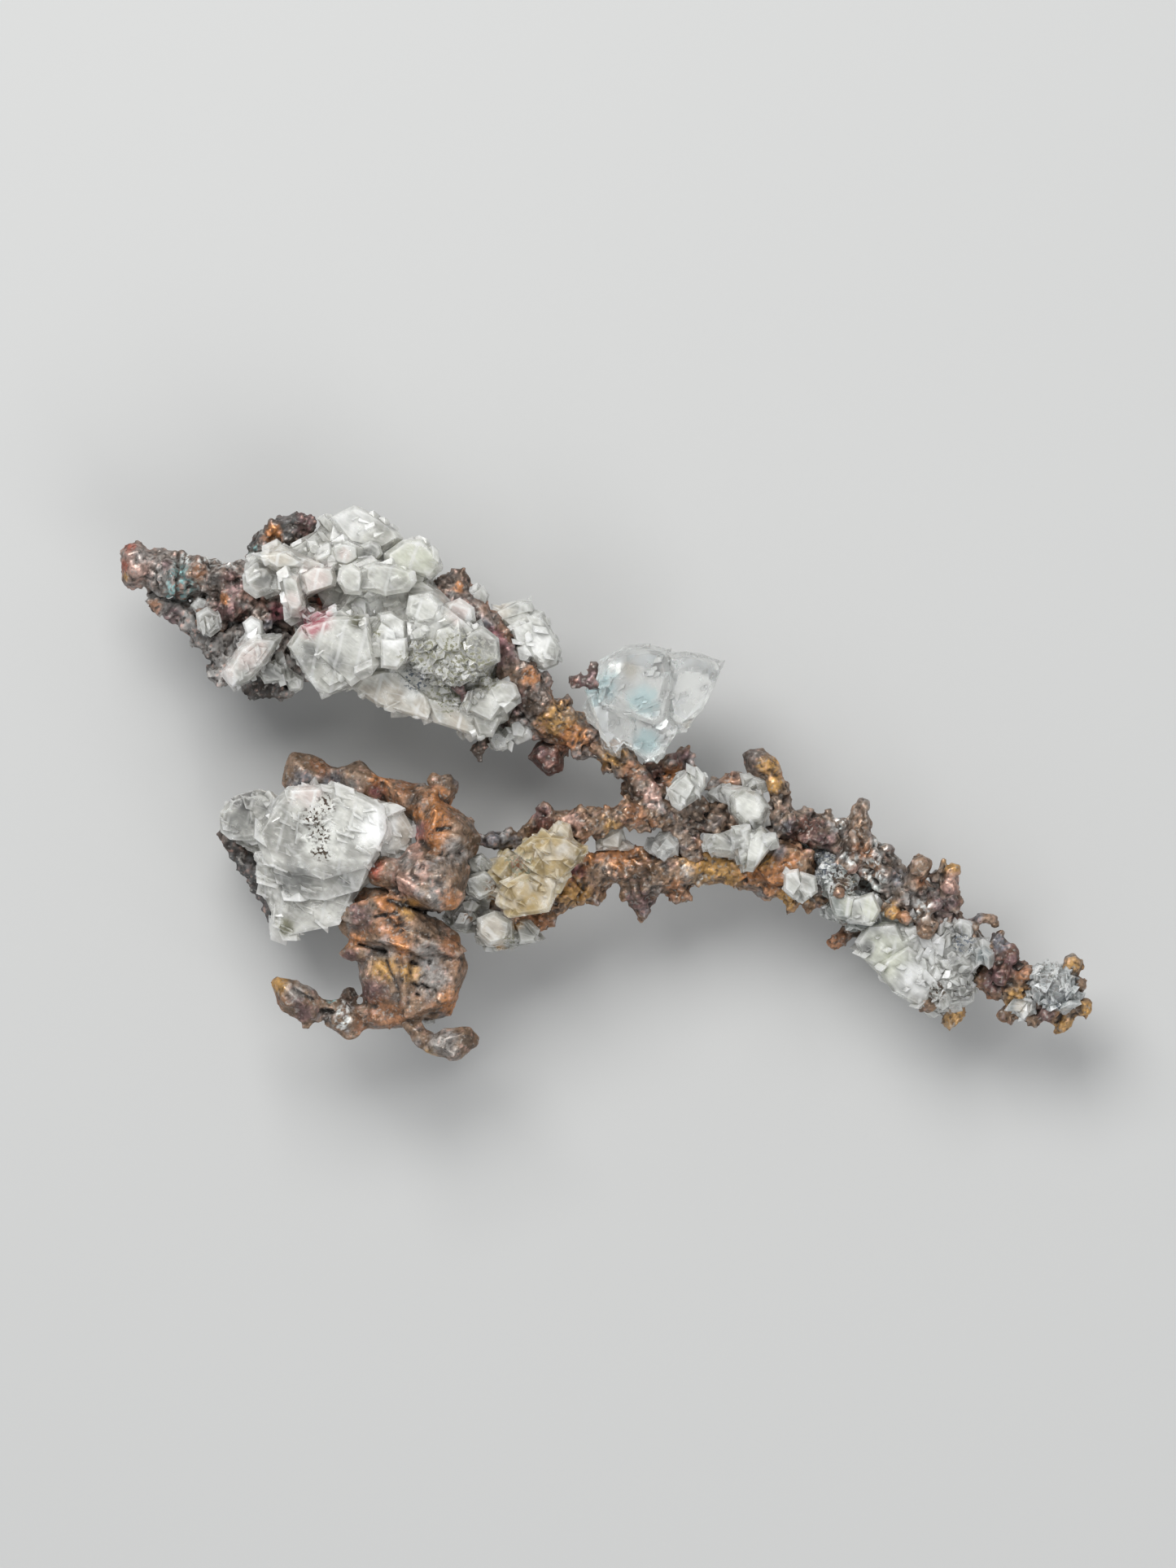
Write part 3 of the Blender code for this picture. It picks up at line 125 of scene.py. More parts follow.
def node_shape(nodes, grow=0.0):
    """The nodes' solids in one bmesh, with each surface moved out by grow."""
    whole = bmesh.new()
    for name in nodes:
        shape = bmesh.new()
        shape.from_mesh(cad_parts[name].data)
        bmesh.ops.remove_doubles(shape, verts=shape.verts, dist=1e-6)
        bmesh.ops.recalc_face_normals(shape, faces=shape.faces)
        shape.normal_update()
        moves = [v.normal * grow for v in shape.verts]
        for vertex, move in zip(shape.verts, moves):
            vertex.co += move
        mesh = bpy.data.meshes.new("grown")
        shape.to_mesh(mesh)
        shape.free()
        whole.from_mesh(mesh)
        bpy.data.meshes.remove(mesh)
    return whole


WHOLE = node_shape(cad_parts)
SURFACE = BVHTree.FromBMesh(WHOLE)
WHOLE.free()


def top_at(x, y):
    """The height of the solids' upper surface at a place on the sheet, in millimetres."""
    hit = SURFACE.ray_cast(place(x, y, OVER_ALL), Vector((0, 0, -1)))[0]
    return hit.z / MM if hit else USUAL_HEIGHT


def within(*circles):
    """Whether a point lies over one of the circles (x, y, radius) on the sheet."""
    def inside(point):
        return any((point - place(x, y, 0)).to_2d().length < radius * MM for x, y, radius in circles)

    return inside


def beyond(*circles):
    """Whether a point lies outside all the circles (x, y, radius) on the sheet."""
    inside = within(*circles)
    return lambda point: not inside(point)


def sample(shape, per_mm2, rng, where=None):
    """Random places on the shape's faces, as (point, normal), spread evenly by area."""
    places = []
    for face in shape.faces:
        wanted = face.calc_area() / MM**2 * per_mm2
        count = int(wanted) + (rng.random() < wanted % 1)
        corners = [loop.vert.co for loop in face.loops]
        for _ in range(count):
            a, b = rng.random(), rng.random()
            if a + b > 1:
                a, b = 1 - a, 1 - b
            point = corners[0] + a * (corners[1] - corners[0]) + b * (corners[2] - corners[0])
            if where is None or where(point):
                places.append((point, face.normal.copy()))
    return places


def random_turn(rng, most=math.pi):
    """A turn about a random axis, by no more than the given angle."""
    axis = Vector((rng.gauss(0, 1), rng.gauss(0, 1), rng.gauss(0, 1))).normalized()
    return Matrix.Rotation(rng.uniform(-most, most), 4, axis)


def finish_mesh(name, shape, material):
    """An object made of the shape, which is freed."""
    mesh = bpy.data.meshes.new(name)
    shape.to_mesh(mesh)
    shape.free()
    piece = bpy.data.objects.new(name, mesh)
    bpy.context.scene.collection.objects.link(piece)
    mesh.materials.append(material)
    return piece


def settle(piece):
    """Applies the piece's modifiers."""
    bpy.context.view_layer.update()
    graph = bpy.context.evaluated_depsgraph_get()
    mesh = bpy.data.meshes.new_from_object(piece.evaluated_get(graph))
    piece.modifiers.clear()
    old = piece.data
    look = old.materials[0]
    piece.data = mesh
    bpy.data.meshes.remove(old)
    mesh.name = piece.name
    mesh.materials.clear()
    mesh.materials.append(look)
    mesh.polygons.foreach_set("material_index", np.zeros(len(mesh.polygons), dtype=np.int32))


def fuse(piece, voxel, soften):
    """Makes one closed skin of the piece's overlapping shapes, with its edges worn soft so many times."""
    skin = piece.modifiers.new("skin", "REMESH")
    skin.mode = "VOXEL"
    skin.voxel_size = voxel * MM
    if soften:
        wear = piece.modifiers.new("worn", "SMOOTH")
        wear.iterations = soften
    settle(piece)


def thin(piece, share):
    """Leaves only a share of the piece's faces, large and flat where the surface allows."""
    fewer = piece.modifiers.new("fewer faces", "DECIMATE")
    fewer.ratio = share
    settle(piece)


def grow_together(piece, crystals):
    """Joins the overlapping crystals to the piece in one closed skin that keeps their sharp edges."""
    others = finish_mesh("crystals", crystals, piece.data.materials[0])
    joined = piece.modifiers.new("joined", "BOOLEAN")
    joined.operation = "UNION"
    joined.solver = "EXACT"
    joined.use_self = True
    joined.object = others
    settle(piece)
    old = others.data
    bpy.data.objects.remove(others)
    bpy.data.meshes.remove(old)


def refine(mesh, longest):
    """Splits the edges over a length in millimetres, so that the tints have points to lie on."""
    shape = bmesh.new()
    shape.from_mesh(mesh)
    bmesh.ops.triangulate(shape, faces=shape.faces)
    for _ in range(SPLITS):
        long_edges = [edge for edge in shape.edges if edge.calc_length() > longest * MM]
        if not long_edges:
            break
        bmesh.ops.subdivide_edges(shape, edges=long_edges, cuts=1)
        bmesh.ops.triangulate(shape, faces=[face for face in shape.faces if len(face.verts) > 3])
    shape.to_mesh(mesh)
    shape.free()
    mesh.validate()


def arrays_of(mesh):
    """The mesh's points and their normals, one a row."""
    points = np.empty(len(mesh.vertices) * 3)
    mesh.vertices.foreach_get("co", points)
    normals = np.empty(len(mesh.vertices) * 3)
    mesh.vertices.foreach_get("normal", normals)
    return points.reshape(-1, 3), normals.reshape(-1, 3)


def put_back(mesh, points):
    """Stores the moved points, held over the floor and inside the solids' box with a little room."""
    room = np.array([EDGE_ROOM] * 3)
    floor = np.array([LOW.x - EDGE_ROOM, LOW.y - EDGE_ROOM, 0.0])
    points = np.clip(points, floor, np.array(HIGH) + room)
    mesh.vertices.foreach_set("co", points.ravel())
    mesh.update()


def noise_at(points, size, rng, depth=3):
    """Smooth noise of about -1 to 1 at each point, with lumps of the given size in millimetres."""
    lattice = np.random.default_rng(rng.randrange(1 << 30)).uniform(-1, 1, (LATTICE,) * 3)
    total = np.zeros(len(points))
    for octave in range(depth):
        spot = points / (size * MM) * 2**octave + 7.3 * octave
        cell = np.floor(spot).astype(int)
        part = spot - cell
        part = part * part * (3 - 2 * part)
        for corner in np.ndindex(2, 2, 2):
            i, j, k = ((cell + corner) % LATTICE).T
            total += lattice[i, j, k] * np.where(corner, part, 1 - part).prod(axis=1) / 2**octave
    return total


def roughen(mesh, size, height, rng):
    """Moves the surface in and out by noise of the given size and height in millimetres."""
    points, normals = arrays_of(mesh)
    swell = noise_at(points, size, rng)
    put_back(mesh, points + normals * (swell * height * MM)[:, None])


def near_line(x, y, line):
    """How near each sheet point is to a line (x1, y1, x2, y2, width): 1 on it and 0 beyond its width."""
    x1, y1, x2, y2, width = line
    along = np.array([x2 - x1, y2 - y1])
    share = ((x - x1) * along[0] + (y - y1) * along[1]) / along.dot(along)
    share = np.clip(share, 0, 1)
    distance = np.hypot(x - x1 - share * along[0], y - y1 - share * along[1])
    return np.clip(1 - distance / width, 0, 1)


def press(mesh, lines):
    """Raises ridges and presses grooves in the upper side, by lines (x1, y1, x2, y2, width, height)."""
    points, normals = arrays_of(mesh)
    x, y = sheet_of(points)
    lift = np.zeros(len(points))
    for *line, height in lines:
        lift += near_line(x, y, line) ** 1.5 * height
    points[:, 2] += lift * np.clip(normals[:, 2] * 2, 0, 1) * MM
    put_back(mesh, points)


def hollowness(mesh):
    """How deep each point lies in a crease (above 0) or stands out on an edge (below 0), from -1 to 1."""
    points, normals = arrays_of(mesh)
    ends = np.empty(len(mesh.edges) * 2, dtype=np.int64)
    mesh.edges.foreach_get("vertices", ends)
    a, b = ends.reshape(-1, 2).T
    values = points
    total = len(points)
    counts = np.maximum(np.bincount(a, minlength=total) + np.bincount(b, minlength=total), 1)
    for _ in range(CREASE_RINGS):
        sums = [
            np.bincount(a, values[b, k], total) + np.bincount(b, values[a, k], total) for k in range(3)
        ]
        values = np.stack(sums, axis=1) / counts[:, None]
    return np.clip(((values - points) * normals).sum(1) / CREASE, -1, 1)


def blend(values, other, weight):
    """Each row of values mixed with the other row by its own weight, held between 0 and 1."""
    return values + (np.array(other) - values) * np.clip(weight, 0, 1)[:, None]


def store_colours(mesh, name, rows):
    """Stores a colour and an alpha for each point."""
    layer = mesh.color_attributes.new(name, "FLOAT_COLOR", "POINT")
    layer.data.foreach_set("color", np.clip(rows, 0.004, 1).ravel())


def show(piece, nodes):
    """Puts the piece in the place of its nodes, riding on the one body."""
    for node in nodes:
        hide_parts(node)
    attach(piece, "root")


# --- copper and matrix ---


def store_form(shape, name):
    """A mesh of the shape, which is freed."""
    mesh = bpy.data.meshes.new(name)
    bmesh.ops.recalc_face_normals(shape, faces=shape.faces)
    shape.to_mesh(mesh)
    shape.free()
    return mesh


def nub(angular):
    """A rough little crystal of copper, a ball or a cube about one unit across its radius."""
    shape = bmesh.new()
    if angular:
        bmesh.ops.create_cube(shape, size=1.5)
    else:
        bmesh.ops.create_icosphere(shape, subdivisions=1, radius=1)
    return store_form(shape, "nub")


def add_nubs(shape, places, rng, least, most):
    """Small rough crystals standing on the places, drawn out at random."""
    for point, normal in places:
        size = MM * (least + (most - least) * rng.random() ** 2)
        along = normal.to_track_quat("Z", "Y").to_matrix().to_4x4()
        ranges = ((0.7, 1.2), (0.7, 1.2), (0.8, 1.7))
        stretch = (*(size * rng.uniform(*ends) for ends in ranges), 1)
        crystal = rng.choice(NUBS).copy()
        matrix = along @ Matrix.Diagonal(stretch) @ random_turn(rng)
        crystal.transform(Matrix.Translation(point + normal * size * 0.1) @ matrix)
        shape.from_mesh(crystal)
        bpy.data.meshes.remove(crystal)


def add_bead(shape, x, y, radius, long=1.0, heading=0.0, rise=0.35):
    """A single copper lump that stands on what lies there, drawn out along its heading on the sheet."""
    turn = Matrix.Rotation(math.radians(heading), 4, "Z") @ Matrix.Diagonal((long, 1, 1, 1))
    centre = place(x, y, top_at(x, y) + radius * rise)
    matrix = Matrix.Translation(centre) @ turn @ Matrix.Rotation(x, 4, "Y")
    bmesh.ops.create_icosphere(shape, subdivisions=1, radius=radius * 1.1 * MM, matrix=matrix)


def stain(mesh, ground, spots, lines, rng, mottle=1.0):
    """Paints the tarnish as a colour of each point: the ground colour mottled with others, the spots
    (x, y, radius, colour) on the sheet, painted shade in the grooves and creases, and painted highlights
    on the edges."""
    points, _ = arrays_of(mesh)
    x, y = sheet_of(points)
    coarse = noise_at(points, 2.6, rng)
    medium = noise_at(points, 1.0, rng)
    fine = noise_at(points, 0.4, rng, 2)
    colours = np.tile(np.array(ground), (len(points), 1))
    colours = blend(colours, RUST, (coarse + medium * 0.4) * 0.7 * mottle)
    colours = blend(colours, PURPLE, (medium * 0.9 - coarse * 0.5 - 0.2) * mottle)
    colours = blend(colours, STEEL, (-coarse + medium * 0.6 - 0.25) * mottle)
    for spot_x, spot_y, radius, colour in spots:
        near = 1.2 - np.hypot(x - spot_x, y - spot_y) / radius + (coarse + medium + fine) * 0.3
        dust = np.clip(fine * 3.0 + 0.3, 0, 1) if colour in (VERDIGRIS, FROST) else 0.8
        colours = blend(colours, colour, np.clip(near * 1.5, 0, 1) * dust)
    colours = blend(colours, ROSE, (fine - 0.4) * 1.1)
    colours = blend(colours, UMBER, (-fine - 0.4) * 1.2)
    # Painted shade: the creases are darkened to umber and black.
    hollow = hollowness(mesh)
    colours = blend(colours, UMBER, hollow * 0.9 - 0.1)
    colours = blend(colours, BLACK, hollow * 1.6 - 0.8)
    # Painted shade: the pressed grooves are darkened to black.
    for *line, height in lines:
        if height < 0:
            colours = blend(colours, BLACK, near_line(x, y, line) * 1.3 - 0.3)
    # Painted highlight: the edges are made lighter.
    colours *= (1 + np.clip(-hollow, 0, 1) * 0.45)[:, None]
    colours *= (1 + fine * 0.25)[:, None]
    rows = np.ones((len(points), 4))
    rows[:, :3] = colours
    store_colours(mesh, "tarnish_and_shading", rows)


def copper_piece(name, nodes, look, ground, spots, rng, bare=(), beads=(), lines=(),
                 crust=(1.6, 0.18, 0.4), knobs=(0.12, 0.4, 0.8), voxel=0.23, soften=2, warp=0.0,
                 lumps=0.16, grain=0.06, mottle=1.0):
    """A stretch of the copper: the solids with small crystals and the beads grown on them, fused, worn,
    stained, and given painted shade in its creases and grooves and painted highlights on its edges. Crust
    and knobs are each a number per square millimetre and the crystals' smallest and largest radius, and
    none grow in the bare circles. Warp, lumps and grain are heights of coarse to fine relief."""
    shape = node_shape(nodes, GAP * 0.55)
    rough = beyond(*bare)
    spreads = [(sample(shape, each[0], rng, rough), *each[1:]) for each in (crust, knobs)]
    for places, least, most in spreads:
        add_nubs(shape, places, rng, least, most)
    for bead in beads:
        add_bead(shape, *bead)
    piece = finish_mesh(name, shape, look)
    fuse(piece, voxel, soften)
    press(piece.data, lines)
    roughen(piece.data, 3.5, warp, rng)
    roughen(piece.data, 1.0, lumps, rng)
    roughen(piece.data, 0.45, grain, rng)
    stain(piece.data, ground, spots, lines, rng, mottle)
    piece.data.shade_smooth()
    show(piece, nodes)


# --- calcite ---

# Leans a cube into a rhomb.
RHOMB = Matrix(((1, -0.2, -0.2, 0), (-0.2, 1, -0.2, 0), (-0.2, -0.2, 1, 0), (0, 0, 0, 1)))


def break_off(shape, rng, depth):
    """Takes a slice off one side of the shape, along a random plane, and closes the cut."""
    normal = Vector((rng.gauss(0, 1), rng.gauss(0, 1), rng.gauss(0, 1))).normalized()
    reach = max(v.co.dot(normal) for v in shape.verts)
    whole = shape.verts[:] + shape.edges[:] + shape.faces[:]
    cut = bmesh.ops.bisect_plane(
        shape, geom=whole, plane_co=normal * reach * (1 - depth), plane_no=normal, clear_outer=True
    )
    rim = [part for part in cut["geom_cut"] if isinstance(part, bmesh.types.BMEdge)]
    if rim:
        bmesh.ops.holes_fill(shape, edges=rim, sides=0)


def cleavage_block(rng):
    """A rhomb one unit long with some corners broken off."""
    shape = bmesh.new()
    stretch = Matrix.Diagonal((rng.uniform(0.7, 1.1), rng.uniform(0.55, 1.0), rng.uniform(0.4, 0.9), 1))
    bmesh.ops.create_cube(shape, size=1, matrix=RHOMB @ stretch)
    for _ in range(3):
        break_off(shape, rng, rng.uniform(0.1, 0.4))
    return store_form(shape, "block")


def give_tone(crystal, rng):
    """Gives the crystal a tone, from -1 for pale to 1 for dim, and each face a little of its own."""
    tone = rng.uniform(-0.8, 0.8)
    layer = crystal.attributes.new("tone", "FLOAT", "FACE")
    layer.data.foreach_set("value", [tone + rng.uniform(-0.3, 0.3) for _ in crystal.polygons])


def add_crystals(shape, forms, places, rng, least, most, lean, lay=None, sunk=0.0):
    """Sets crystals of the given forms in the surface at the places, their Z along the surface's own way
    out, or all turned nearly alike where a lay is given. Sunk is the share of its size that each one is
    pushed in."""
    for point, normal in places:
        size = MM * (least + (most - least) * rng.random() ** 2)
        turn = lay or normal.to_track_quat("Z", "Y").to_matrix().to_4x4()
        if lay is None:
            turn = turn @ Matrix.Rotation(rng.uniform(0, math.tau), 4, "Z")
        crystal = rng.choice(forms).copy()
        lowered = Matrix.Translation(point - normal * size * sunk)
        crystal.transform(lowered @ turn @ random_turn(rng, lean) @ Matrix.Scale(size, 4))
        give_tone(crystal, rng)
        shape.from_mesh(crystal)
        bpy.data.meshes.remove(crystal)


def stand_on(outline):
    """The height of the solids under an outline on the sheet, as a length."""
    middle_x = sum(x for x, _ in outline) / len(outline)
    middle_y = sum(y for _, y in outline) / len(outline)
    spots = [(middle_x, middle_y)]
    spots += [(middle_x + (x - middle_x) * 0.6, middle_y + (y - middle_y) * 0.6) for x, y in outline]
    heights = sorted(top_at(x, y) for x, y in spots)
    return heights[len(heights) * 2 // 3] * MM


def add_outlined(shape, rng, sink, outline, rise, slope=(0.0, 0.0), table=0.74, base=None):
    """A flat-faced crystal whose widest section is the outline on the sheet. Its front is a table that is
    a share of the outline, stands rise over the solids or over the base height, and slopes by so much a
    millimetre to the right and up the sheet. Its back lies sink below. A few corners are off."""
    ground = base * MM if base else stand_on(outline)
    corners = [place(x, y, 0) for x, y in outline]
    middle = sum(corners, Vector()) / len(corners)
    crystal = bmesh.new()
    for height, share in ((-0.5, 1.0), (rise, table), (-sink, 0.7)):
        for corner in corners:
            arm = (corner - middle) * share
            lift = height * MM + (slope[0] * arm.x + slope[1] * arm.y if height > 0 else 0)
            crystal.verts.new((arm.x, arm.y, lift))
    hull = bmesh.ops.convex_hull(crystal, input=crystal.verts)
    bmesh.ops.delete(crystal, geom=hull["geom_interior"], context="VERTS")
    for _ in range(4):
        break_off(crystal, rng, rng.uniform(0.03, 0.12))
    form = store_form(crystal, "crystal")
    form.transform(Matrix.Translation((middle.x, middle.y, ground)))
    give_tone(form, rng)
    shape.from_mesh(form)
    bpy.data.meshes.remove(form)


def draw_in(mesh, depth):
    """Takes the surface back in by the depth, which leaves narrow gaps between crystals filled."""
    points, normals = arrays_of(mesh)
    put_back(mesh, points - normals * depth)


def tone_of(mesh):
    """The tone of the faces round each point."""
    faces = np.empty(len(mesh.polygons))
    mesh.attributes["tone"].data.foreach_get("value", faces)
    corners = np.empty(len(mesh.loops), dtype=np.int32)
    mesh.loops.foreach_get("vertex_index", corners)
    total = np.bincount(corners, weights=np.repeat(faces, 3), minlength=len(mesh.vertices))
    return total / np.maximum(np.bincount(corners, minlength=len(mesh.vertices)), 1)


def frost(mesh, ground, clear, spots, specks, rng):
    """Paints the crystals: the colour of each point, and in its alpha how clear it is, with painted
    highlights on the edges and painted shade in the creases. Spots are (x, y, radius, colour, clear) and
    specks, where grains lie, (x, y, radius, colour), both on the front."""
    points, normals = arrays_of(mesh)
    x, y = sheet_of(points)
    coarse = noise_at(points, 3.4, rng)
    medium = noise_at(points, 1.2, rng)
    fine = noise_at(points, 0.45, rng, 2)
    tone = tone_of(mesh)
    front = np.clip(normals[:, 2] * 3 + 1, 0, 1)
    rows = np.tile(np.array([*ground, clear]), (len(points), 1))
    dim = tuple(shade * 0.68 for shade in ground)
    pale = tuple(0.45 * shade + 0.55 * white for shade, white in zip(ground, WHITE))
    rows = blend(rows, (*dim, min(clear + 0.25, 0.8)), tone * 0.8 + coarse * 0.5 + medium * 0.2 - 0.05)
    rows = blend(rows, (*pale, clear * 0.6), -tone * 0.8 - coarse * 0.4 - medium * 0.4 - 0.05)
    for spot_x, spot_y, radius, colour, through in spots:
        near = 1.2 - np.hypot(x - spot_x, y - spot_y) / radius
        near += coarse * 0.15 + medium * 0.3 + fine * 0.1
        rows = blend(rows, (*colour, through), near * 1.5 * front)
    rows = blend(rows, (*pale, clear * 0.4), (fine - 0.4) * 0.9)
    grit = np.zeros((len(points), 4))
    for spot_x, spot_y, radius, colour in specks:
        near = 1.3 - np.hypot(x - spot_x, y - spot_y) / radius + medium * 0.25
        grit = blend(grit, (*colour, 1.0), near * 1.6 * front)
    store_colours(mesh, "grit", grit)
    hollow = hollowness(mesh)
    # Painted highlight: the edges are made lighter and less clear.
    edge = tuple(0.5 * shade * 1.4 + 0.5 * white for shade, white in zip(ground, WHITE))
    rows = blend(rows, (*edge, clear * 0.5), -hollow * 0.5 - 0.12)
    # Painted shade: the creases are darkened.
    rows[:, :3] *= (1 - np.clip(hollow, 0, 1) * 0.3)[:, None]
    store_colours(mesh, "tint_and_shading", rows)


def calcite_piece(name, nodes, look, ground, clear, rng, spots=(), specks=(), outlined=(), close=0.4,
                  steps=(0.12, 0.8, 2.2, 0.26, 0.12), blocks=(0.0, 1.0, 2.5), sugar=(0.0, 0.8, 1.6),
                  sugar_where=None, depth=2.6, base=0.012, longest=0.5):
    """A mass of calcite: the solids with the gaps between them closed and broken into large flat faces,
    the outlined crystals and small random ones grown into them, all in one skin with sharp edges. Steps,
    which are cleavage blocks all turned one way, blocks and sugar are each a number per square millimetre
    and the crystals' smallest and largest size, and for steps how far they are sunk and how much they
    lean."""
    piece = finish_mesh(name, node_shape(nodes, close * MM), look)
    fuse(piece, CALCITE_SKIN, 0)
    draw_in(piece.data, close * MM - GAP * 0.3)
    thin(piece, base)
    give_tone(piece.data, rng)
    solids = node_shape(nodes)
    shape = bmesh.new()
    shape.faces.layers.float.new("tone")
    for crystal in outlined:
        add_outlined(shape, rng, depth, *crystal)
    density, least, most, sunk, lean = steps
    fronts = [(point, normal) for point, normal in sample(shape, density, rng) if normal.z > 0.2]
    fronts += sample(solids, density, rng)
    add_crystals(shape, BLOCKS, fronts, rng, least, most, lean, random_turn(rng), sunk)
    add_crystals(shape, BLOCKS, sample(solids, blocks[0], rng), rng, *blocks[1:], lean=0.6)
    add_crystals(shape, BLOCKS, sample(solids, sugar[0], rng, sugar_where), rng, *sugar[1:], lean=1.2)
    solids.free()
    grow_together(piece, shape)
    refine(piece.data, longest)
    put_back(piece.data, arrays_of(piece.data)[0])
    frost(piece.data, ground, clear, spots, specks, rng)
    piece.data.shade_smooth()
    piece.data.set_sharp_from_angle(angle=SHARP)
    show(piece, nodes)


# --- materials ---


class Look:
    """A material and short ways to add and link its nodes."""

    def __init__(self, name):
        self.material = bpy.data.materials.new(name)
        self.material.use_nodes = True
        self.tree = self.material.node_tree
        self.shader = self.tree.nodes["Principled BSDF"]
        self.place = self.node("TexCoord").outputs["Object"]

    def node(self, kind):
        return self.tree.nodes.new("ShaderNode" + kind)

    def link(self, source, target):
        self.tree.links.new(source, target)

    def drive(self, socket, source):
        """Links a source to one of the shader's own sockets."""
        self.link(source, self.shader.inputs[socket])

    def fix(self, **numbers):
        """Sets the shader's own sockets, named with _ for a space."""
        for socket, number in numbers.items():
            self.shader.inputs[socket.replace("_", " ")].default_value = number

    def noise(self, size, detail=4, stretch=(1, 1, 1), turn=(0, 0, 0)):
        """Noise with lumps of the given size in millimetres, drawn out and turned if wanted."""
        bearing = self.node("Mapping")
        bearing.vector_type = "TEXTURE"
        bearing.inputs["Rotation"].default_value = turn
        bearing.inputs["Scale"].default_value = stretch
        self.link(self.place, bearing.inputs["Vector"])
        node = self.node("TexNoise")
        node.inputs["Scale"].default_value = 1 / (size * MM)
        node.inputs["Detail"].default_value = detail
        self.link(bearing.outputs["Vector"], node.inputs["Vector"])
        return node.outputs["Fac"]

    def ramp(self, value, start, end, low, high):
        node = self.node("MapRange")
        for socket, number in (("From Min", start), ("From Max", end), ("To Min", low), ("To Max", high)):
            node.inputs[socket].default_value = number
        self.link(value, node.inputs["Value"])
        return node.outputs["Result"]

    def painted(self, name):
        """The node of a colour that is painted on the mesh."""
        node = self.node("Attribute")
        node.attribute_name = name
        return node

    def cleavage(self, size, turn):
        """Waves in parallel sheets about the given size apart, a little bent."""
        bearing = self.node("Mapping")
        bearing.inputs["Rotation"].default_value = turn
        self.link(self.place, bearing.inputs["Vector"])
        node = self.node("TexWave")
        node.inputs["Scale"].default_value = 0.31 / (size * MM)
        node.inputs["Distortion"].default_value = 2.0
        node.inputs["Detail"].default_value = 2.0
        node.inputs["Detail Scale"].default_value = 0.6
        self.link(bearing.outputs["Vector"], node.inputs["Vector"])
        return node.outputs["Fac"]

    def times(self, value, other):
        node = self.node("Math")
        node.operation = "MULTIPLY"
        self.link(value, node.inputs[0])
        self.link(other, node.inputs[1])
        return node.outputs["Value"]

    def mixed(self, amount, colour, other):
        """The colour mixed by the amount with another, plain or from a socket."""
        node = self.node("Mix")
        node.data_type = "RGBA"
        if isinstance(other, bpy.types.NodeSocket):
            self.link(other, node.inputs[7])
        else:
            node.inputs[7].default_value = (*other, 1)
        self.link(amount, node.inputs[0])
        self.link(colour, node.inputs[6])
        return node.outputs[2]

    def shaded(self, colour, amount):
        """The colour made lighter or darker by the amount."""
        node = self.node("VectorMath")
        node.operation = "SCALE"
        self.link(colour, node.inputs[0])
        self.link(amount, node.inputs["Scale"])
        return node.outputs["Vector"]

    def bump(self, height, depth, strength):
        node = self.node("Bump")
        node.inputs["Strength"].default_value = strength
        node.inputs["Distance"].default_value = depth * MM
        self.link(height, node.inputs["Height"])
        self.drive("Normal", node.outputs["Normal"])


def metal_look(name, metallic, roughness, grain, salt, pepper):
    """Tarnished crystalline metal, painted by its tarnish with painted shade in its creases and painted
    highlights on its edges, with a fine grain of pale and dark specks.
    """
    look = Look(name)
    speckle = look.noise(grain)
    patches = look.noise(1.3, 3)
    shade = look.ramp(speckle, 0.3, 0.7, 0.8, 1.25)
    # The painted colour holds the tarnish with painted shade in the creases and painted highlights on the
    # edges.
    tarnish_and_shading = look.shaded(look.painted("tarnish_and_shading").outputs["Color"], shade)
    pale = look.ramp(look.noise(grain * 1.6, 5), 0.57, 0.66, 0, salt)
    dark = look.ramp(look.noise(grain * 1.9, 5), 0.43, 0.34, 0, pepper)
    tarnish_and_shading = look.mixed(pale, tarnish_and_shading, (0.36, 0.34, 0.31))
    tarnish_and_shading = look.mixed(dark, tarnish_and_shading, (0.035, 0.028, 0.024))
    look.drive("Base Color", tarnish_and_shading)
    look.drive("Roughness", look.ramp(patches, 0.35, 0.65, roughness + 0.14, roughness - 0.14))
    look.drive("Metallic", look.ramp(patches, 0.35, 0.65, metallic - 0.2, metallic + 0.2))
    look.bump(speckle, 0.07, 0.7)
    return look.material


# Sets of cleavage sheets: how far apart in millimetres, how they are turned, and how strong they show.
CLEAVAGE = (
    (2.1, (0.3, 0.5, 0.4), 0.8),
    (1.3, (1.2, 0.2, 1.9), 0.6),
    (0.7, (0.4, 1.3, 2.6), 0.45),
)


